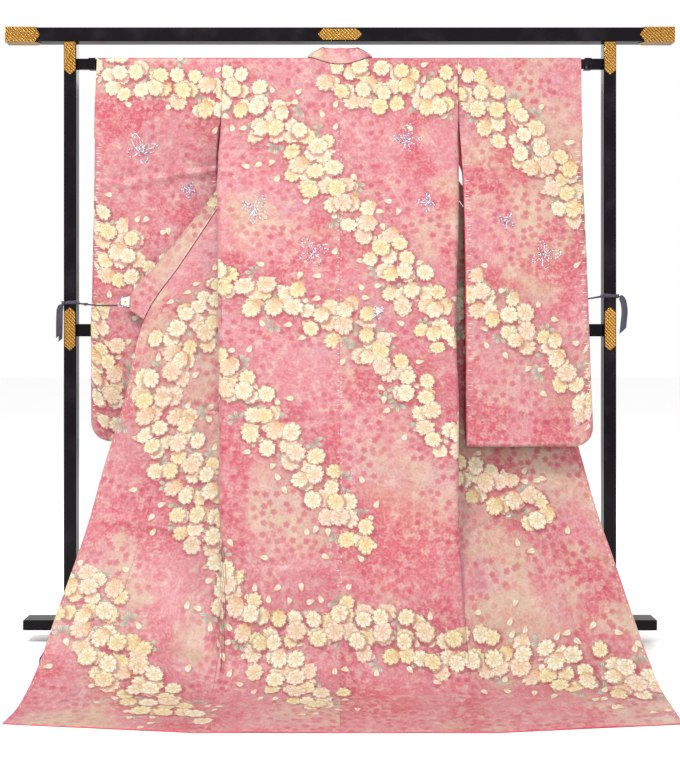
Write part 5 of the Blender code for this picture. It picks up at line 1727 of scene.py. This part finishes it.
# %% One bead, and many copies of it in one mesh
bead = begin_piece("primitive_ico_sphere_add", "bead", (0, 0, 0), subdivisions=2, radius=1.0)
scaled(bead, (1.0, 1.0, 0.82))
pick_faces(bead, lambda f: f.center.z > 0.72)
bpy.ops.transform.resize(value=(0.8, 0.8, 0.9))
bpy.ops.object.mode_set(mode="OBJECT")
BEAD = (
    np.array([tuple(v.co) for v in bead.data.vertices]), [tuple(f.vertices) for f in bead.data.polygons],
)
bpy.data.objects.remove(bead)


def glass(name, colour, roughness, metallic):
    finish = speckled(name, tuple(c * 0.55 for c in colour), colour, roughness, metallic, 900.0, 0.0001)
    inputs = finish.node_tree.nodes["Principled BSDF"].inputs
    inputs["Coat Weight"].default_value, inputs["Coat Roughness"].default_value = 0.6, 0.05
    return finish


GLASS = (
    glass("silver_beads", srgb(222, 226, 232), 0.12, 0.60),
    glass("white_beads", srgb(252, 252, 255), 0.10, 0.0),
    glass("lilac_beads", srgb(178, 160, 222), 0.14, 0.30),
    glass("smoke_beads", srgb(112, 112, 128), 0.16, 0.60),
)


def bead_piece(name, beads, seed):
    """Join beads, given as place, normal and radius, in one mesh of four glasses."""
    chance = np.random.default_rng(seed)
    vertices, polygons, slots = [], [], []
    for place, normal, radius in beads:
        turn = normal.to_track_quat("Z", "Y").to_matrix() @ Matrix.Rotation(chance.uniform(0, 6.28), 3, "Z")
        first = len(vertices) * len(BEAD[0])
        vertices.append(BEAD[0] @ (np.array(turn).T * radius) + np.array(place + normal * radius * 0.75))
        polygons.extend(tuple(k + first for k in face) for face in BEAD[1])
        slots.extend([int(chance.choice(4, p=(0.30, 0.34, 0.20, 0.16)))] * len(BEAD[1]))
    mesh_piece(name, np.concatenate(vertices).tolist(), polygons, GLASS, slots, smooth=False)


# %% The butterflies
# the right half of a butterfly, in shares of its span: two wings as closed loops, and three open lines
FORE = (
    (0.03, 0.04), (0.10, 0.20), (0.24, 0.38), (0.42, 0.46),
    (0.50, 0.36), (0.44, 0.18), (0.28, 0.05), (0.10, 0.00),
)
HIND = (
    (0.04, -0.02), (0.20, -0.03), (0.34, -0.10), (0.38, -0.24),
    (0.28, -0.36), (0.18, -0.34), (0.10, -0.20), (0.05, -0.10),
)
VEIN = ((0.08, 0.06), (0.20, 0.16), (0.32, 0.26), (0.41, 0.32))
FEELER = ((0.02, 0.16), (0.06, 0.28), (0.12, 0.36))
BODY = ((0.0, 0.14), (0.0, -0.16))


BEAD_PITCH, BEADS_LOST, FEWEST_BEADS = 0.0036, 0.08, 12


def strung(points, pitch, closed):
    """Places along a line through the points, a bead's pitch apart."""
    points = [np.array(p, float) for p in points]
    if closed:
        points = points + points[:1]
    lengths = np.concatenate(([0.0], np.cumsum([np.linalg.norm(b - a) for a, b in zip(points, points[1:])])))
    count = max(int(round(lengths[-1] / pitch)), 2)
    at = np.linspace(0, lengths[-1], count, endpoint=not closed)
    grid = np.array(points)
    return np.stack((np.interp(at, lengths, grid[:, 0]), np.interp(at, lengths, grid[:, 1])), axis=-1)


def butterfly(name, middle, way, span, turn, wings, seed):
    """Beads of one butterfly, laid out flat and dropped on the cloth. wings is how far each side is open."""
    way = Vector(way).normalized()
    right = way.cross(Vector((0, 0, 1))).normalized()
    upright = right.cross(way)
    beads = []
    chance = np.random.default_rng(seed)
    pitch = BEAD_PITCH / span
    flat = []
    for side_sign, open_wing in zip((-1, 1), wings):
        for points, closed in ((FORE, True), (HIND, True), (VEIN, False), (FEELER, False)):
            flat.extend((side_sign * x * open_wing, y) for x, y in strung(points, pitch, closed))
    flat.extend(tuple(p) for p in strung(BODY, pitch, False))
    for x, y in flat:
        if chance.random() < BEADS_LOST:
            continue
        x, y = (x * cos(turn) - y * sin(turn)) * span, (x * sin(turn) + y * cos(turn)) * span
        start = Vector(middle) + right * x + upright * y - way * 0.06
        hit = drop(start, way, far=0.12)
        if hit:
            beads.append((hit[0], hit[1], chance.uniform(0.00110, 0.00155)))
    if len(beads) < FEWEST_BEADS:
        print("few beads on", name)
        return
    bead_piece(name, beads, seed)


def seen_at(px, py):
    """Where the cloth is met through one pixel of the camera's view."""
    way = Vector(((px - MIDDLE) * PER_PIXEL / DISTANCE, 1.0, -(py - LEVEL) * PER_PIXEL / DISTANCE))
    return drop(camera.location, way), way


FRONT_BUTTERFLIES = (
    (141, 151, 0.078, -0.45, (1.0, 0.9)),
    (189, 191, 0.044, 0.5, (0.75, 0.9)),
    (254, 212, 0.080, 0.35, (0.55, 1.0)),
    (313, 254, 0.078, -0.3, (1.0, 0.9)),
    (407, 141, 0.074, 0.7, (0.6, 1.0)),
    (428, 203, 0.050, 0.6, (1.0, 0.6)),
    (377, 313, 0.040, -0.2, (0.7, 0.7)),
    (507, 222, 0.046, 0.3, (0.8, 0.8)),
    (543, 256, 0.076, -0.55, (0.7, 1.0)),
)
for number, (px, py, span, turn, wings) in enumerate(FRONT_BUTTERFLIES):
    hit, way = seen_at(px, py)
    butterfly("bead_butterfly_%02d" % (number + 1), hit[0], way, span, turn, wings, 40 + number)
REAR_BUTTERFLIES = (
    (-0.52, 1.30, 0.076, 0.4, (1.0, 0.8)),
    (-0.43, 0.96, 0.046, -0.5, (0.8, 0.8)),
    (0.50, 1.34, 0.076, -0.4, (0.7, 1.0)),
    (0.58, 1.02, 0.048, 0.6, (0.9, 0.7)),
    (0.42, 0.74, 0.070, 0.2, (1.0, 0.7)),
)
for number, (x, z, span, turn, wings) in enumerate(REAR_BUTTERFLIES):
    hit = drop((x, 2.0, z), (0, -1, 0))
    if hit[3].startswith("sleeve"):  # beads are sewn on the outer silk, never on the lining
        butterfly("bead_butterfly_%02d" % (number + 21), hit[0], (0, -1, 0), span, turn, wings, 70 + number)
    else:
        print("no rear butterfly at", x, z, "on", hit[3])

# %% Finishes of the threads
rose_thread = speckled("rose_thread", srgb(178, 44, 84), srgb(206, 74, 110), 0.55, 0.0, 800.0, 0.0001)
pale_thread = speckled("pale_thread", srgb(238, 196, 196), srgb(250, 226, 216), 0.55, 0.0, 800.0, 0.0001)
THREADS = (rose_thread, pale_thread)


# %% Stitches
def stitches(name, pairs, way, radius, names, seed):
    """Short threads between pairs of points, each dropped on the cloth along way and rounded at its ends."""
    chance = np.random.default_rng(seed)
    vertices, polygons, slots = [], [], []
    rings, corners = 4, 6
    faces_of_one = (rings - 1) * corners + 2
    angle = np.linspace(0, 2 * pi, corners, endpoint=False)
    for a, b in pairs:
        a, b = Vector(a), Vector(b)
        spots = []
        for t in np.linspace(0, 1, rings):
            hit = drop(a.lerp(b, t) - Vector(way).normalized() * 0.03, way, names, far=0.08)
            if hit:
                spots.append((hit[0], hit[1]))
        if len(spots) < rings or (spots[0][0] - spots[-1][0]).length > 1.6 * (b - a).length:
            continue
        along = (spots[-1][0] - spots[0][0]).normalized()
        first = len(vertices)
        for k, (spot, normal) in enumerate(spots):
            share, rise = (0.35, 0.15) if k in (0, rings - 1) else (1.0, 0.55)
            wide = radius * share
            across = normal.cross(along).normalized()
            middle = spot + normal * (radius * rise)
            vertices.extend(tuple(middle + across * cos(t) * wide + normal * sin(t) * wide) for t in angle)
        for k in range(rings - 1):
            here, on = first + k * corners, first + (k + 1) * corners
            for j in range(corners):
                after = (j + 1) % corners
                polygons.append((here + j, here + after, on + after, on + j))
        polygons.append(tuple(first + j for j in reversed(range(corners))))
        polygons.append(tuple(first + (rings - 1) * corners + j for j in range(corners)))
        slots.extend([int(chance.integers(len(THREADS)))] * faces_of_one)
    print(name, len(slots) // faces_of_one, "stitches")
    mesh_piece(name, vertices, polygons, THREADS, slots)


BOTH = (("face", (0, 1, 0)), ("back", (0, -1, 0)))
WRIST_STITCHED, INNER_STITCHED = 0.24, 1.30  # from here down the outer and the inner edge are stitched
for side in (LEFT, RIGHT):
    name = SIDE_NAME[side]
    chance = np.random.default_rng(11 + side)
    for face, way in BOTH:
        pairs = []
        z = SHOULDER_Z - 0.05
        while z > SLEEVE_BOTTOM + 0.06:
            inner, outer = (float(curve(SLEEVE_EDGES[side], z, c)) for c in (1, 2))
            swing = float(curve(SLEEVE_SWING[side], z, 2))
            reach = chance.uniform(0.007, 0.016)
            if z < SHOULDER_Z - WRIST_STITCHED:
                start = outer - chance.uniform(0.004, 0.008)
                end_z = z + chance.uniform(-0.001, 0.001)
                pairs.append((
                    (side * start, STAND_Y - swing, z), (side * (start - reach), STAND_Y - swing, end_z),
                ))
            if face == "face" and z < INNER_STITCHED:
                swing = float(curve(SLEEVE_SWING[side], z, 1))
                start = inner + 0.004
                pairs.append((
                    (side * start, STAND_Y - swing, z), (side * (start + reach), STAND_Y - swing, z),
                ))
            z -= chance.uniform(0.007, 0.012)
        stitches("sleeve_stitches_%s_%s" % (name, face), pairs, way, 0.0006, ["sleeve_" + name], 5 + side)

# running stitches down the centre back and along the front edges
CENTRE_STITCH, LOWEST_STITCH = 0.0065, 0.10
CENTRE_COUNT, CENTRE_START, CENTRE_PITCH = 118, 0.05, 0.0125
pairs = []
for k in range(CENTRE_COUNT):
    v = CENTRE_START + k * CENTRE_PITCH
    forward, up = fall(v)
    after_forward, after_up = fall(v + CENTRE_STITCH)
    if up > LOWEST_STITCH:
        pairs.append(((0.0028, STAND_Y - forward, up), (0.0028, STAND_Y - after_forward, after_up)))
        reach = 0.003 + 0.003 * abs(sin(k * 2.3))
        pairs.append((
            (-0.0015 - reach, STAND_Y - forward, up), (-0.0012, STAND_Y - forward, up + 0.0006 * sin(k)),
        ))
EDGE_MARGIN, EDGE_STITCH, EDGE_INSET, EDGE_PITCH = 0.02, 0.006, 0.007, 0.0135
stitches("centre_stitches", pairs, (0, 1, -0.25), 0.0006, ["back_left", "back_right"], 3)
for side in (LEFT, RIGHT):
    name = SIDE_NAME[side]
    pairs = []
    v = COLLAR_END + EDGE_MARGIN
    while v < LENGTH - EDGE_MARGIN:
        ends = []
        for at in (v, v + EDGE_STITCH):
            place = front_place(side, np.array([front_width(at) - EDGE_INSET]), at)
            ends.append(tuple(world_place(side, place)[0]))
        pairs.append(tuple(ends))
        v += EDGE_PITCH
    stitches("edge_stitches_" + name, pairs, (-0.2 * side, 0.85, -0.5), 0.00045, ["okumi_" + name], 9)
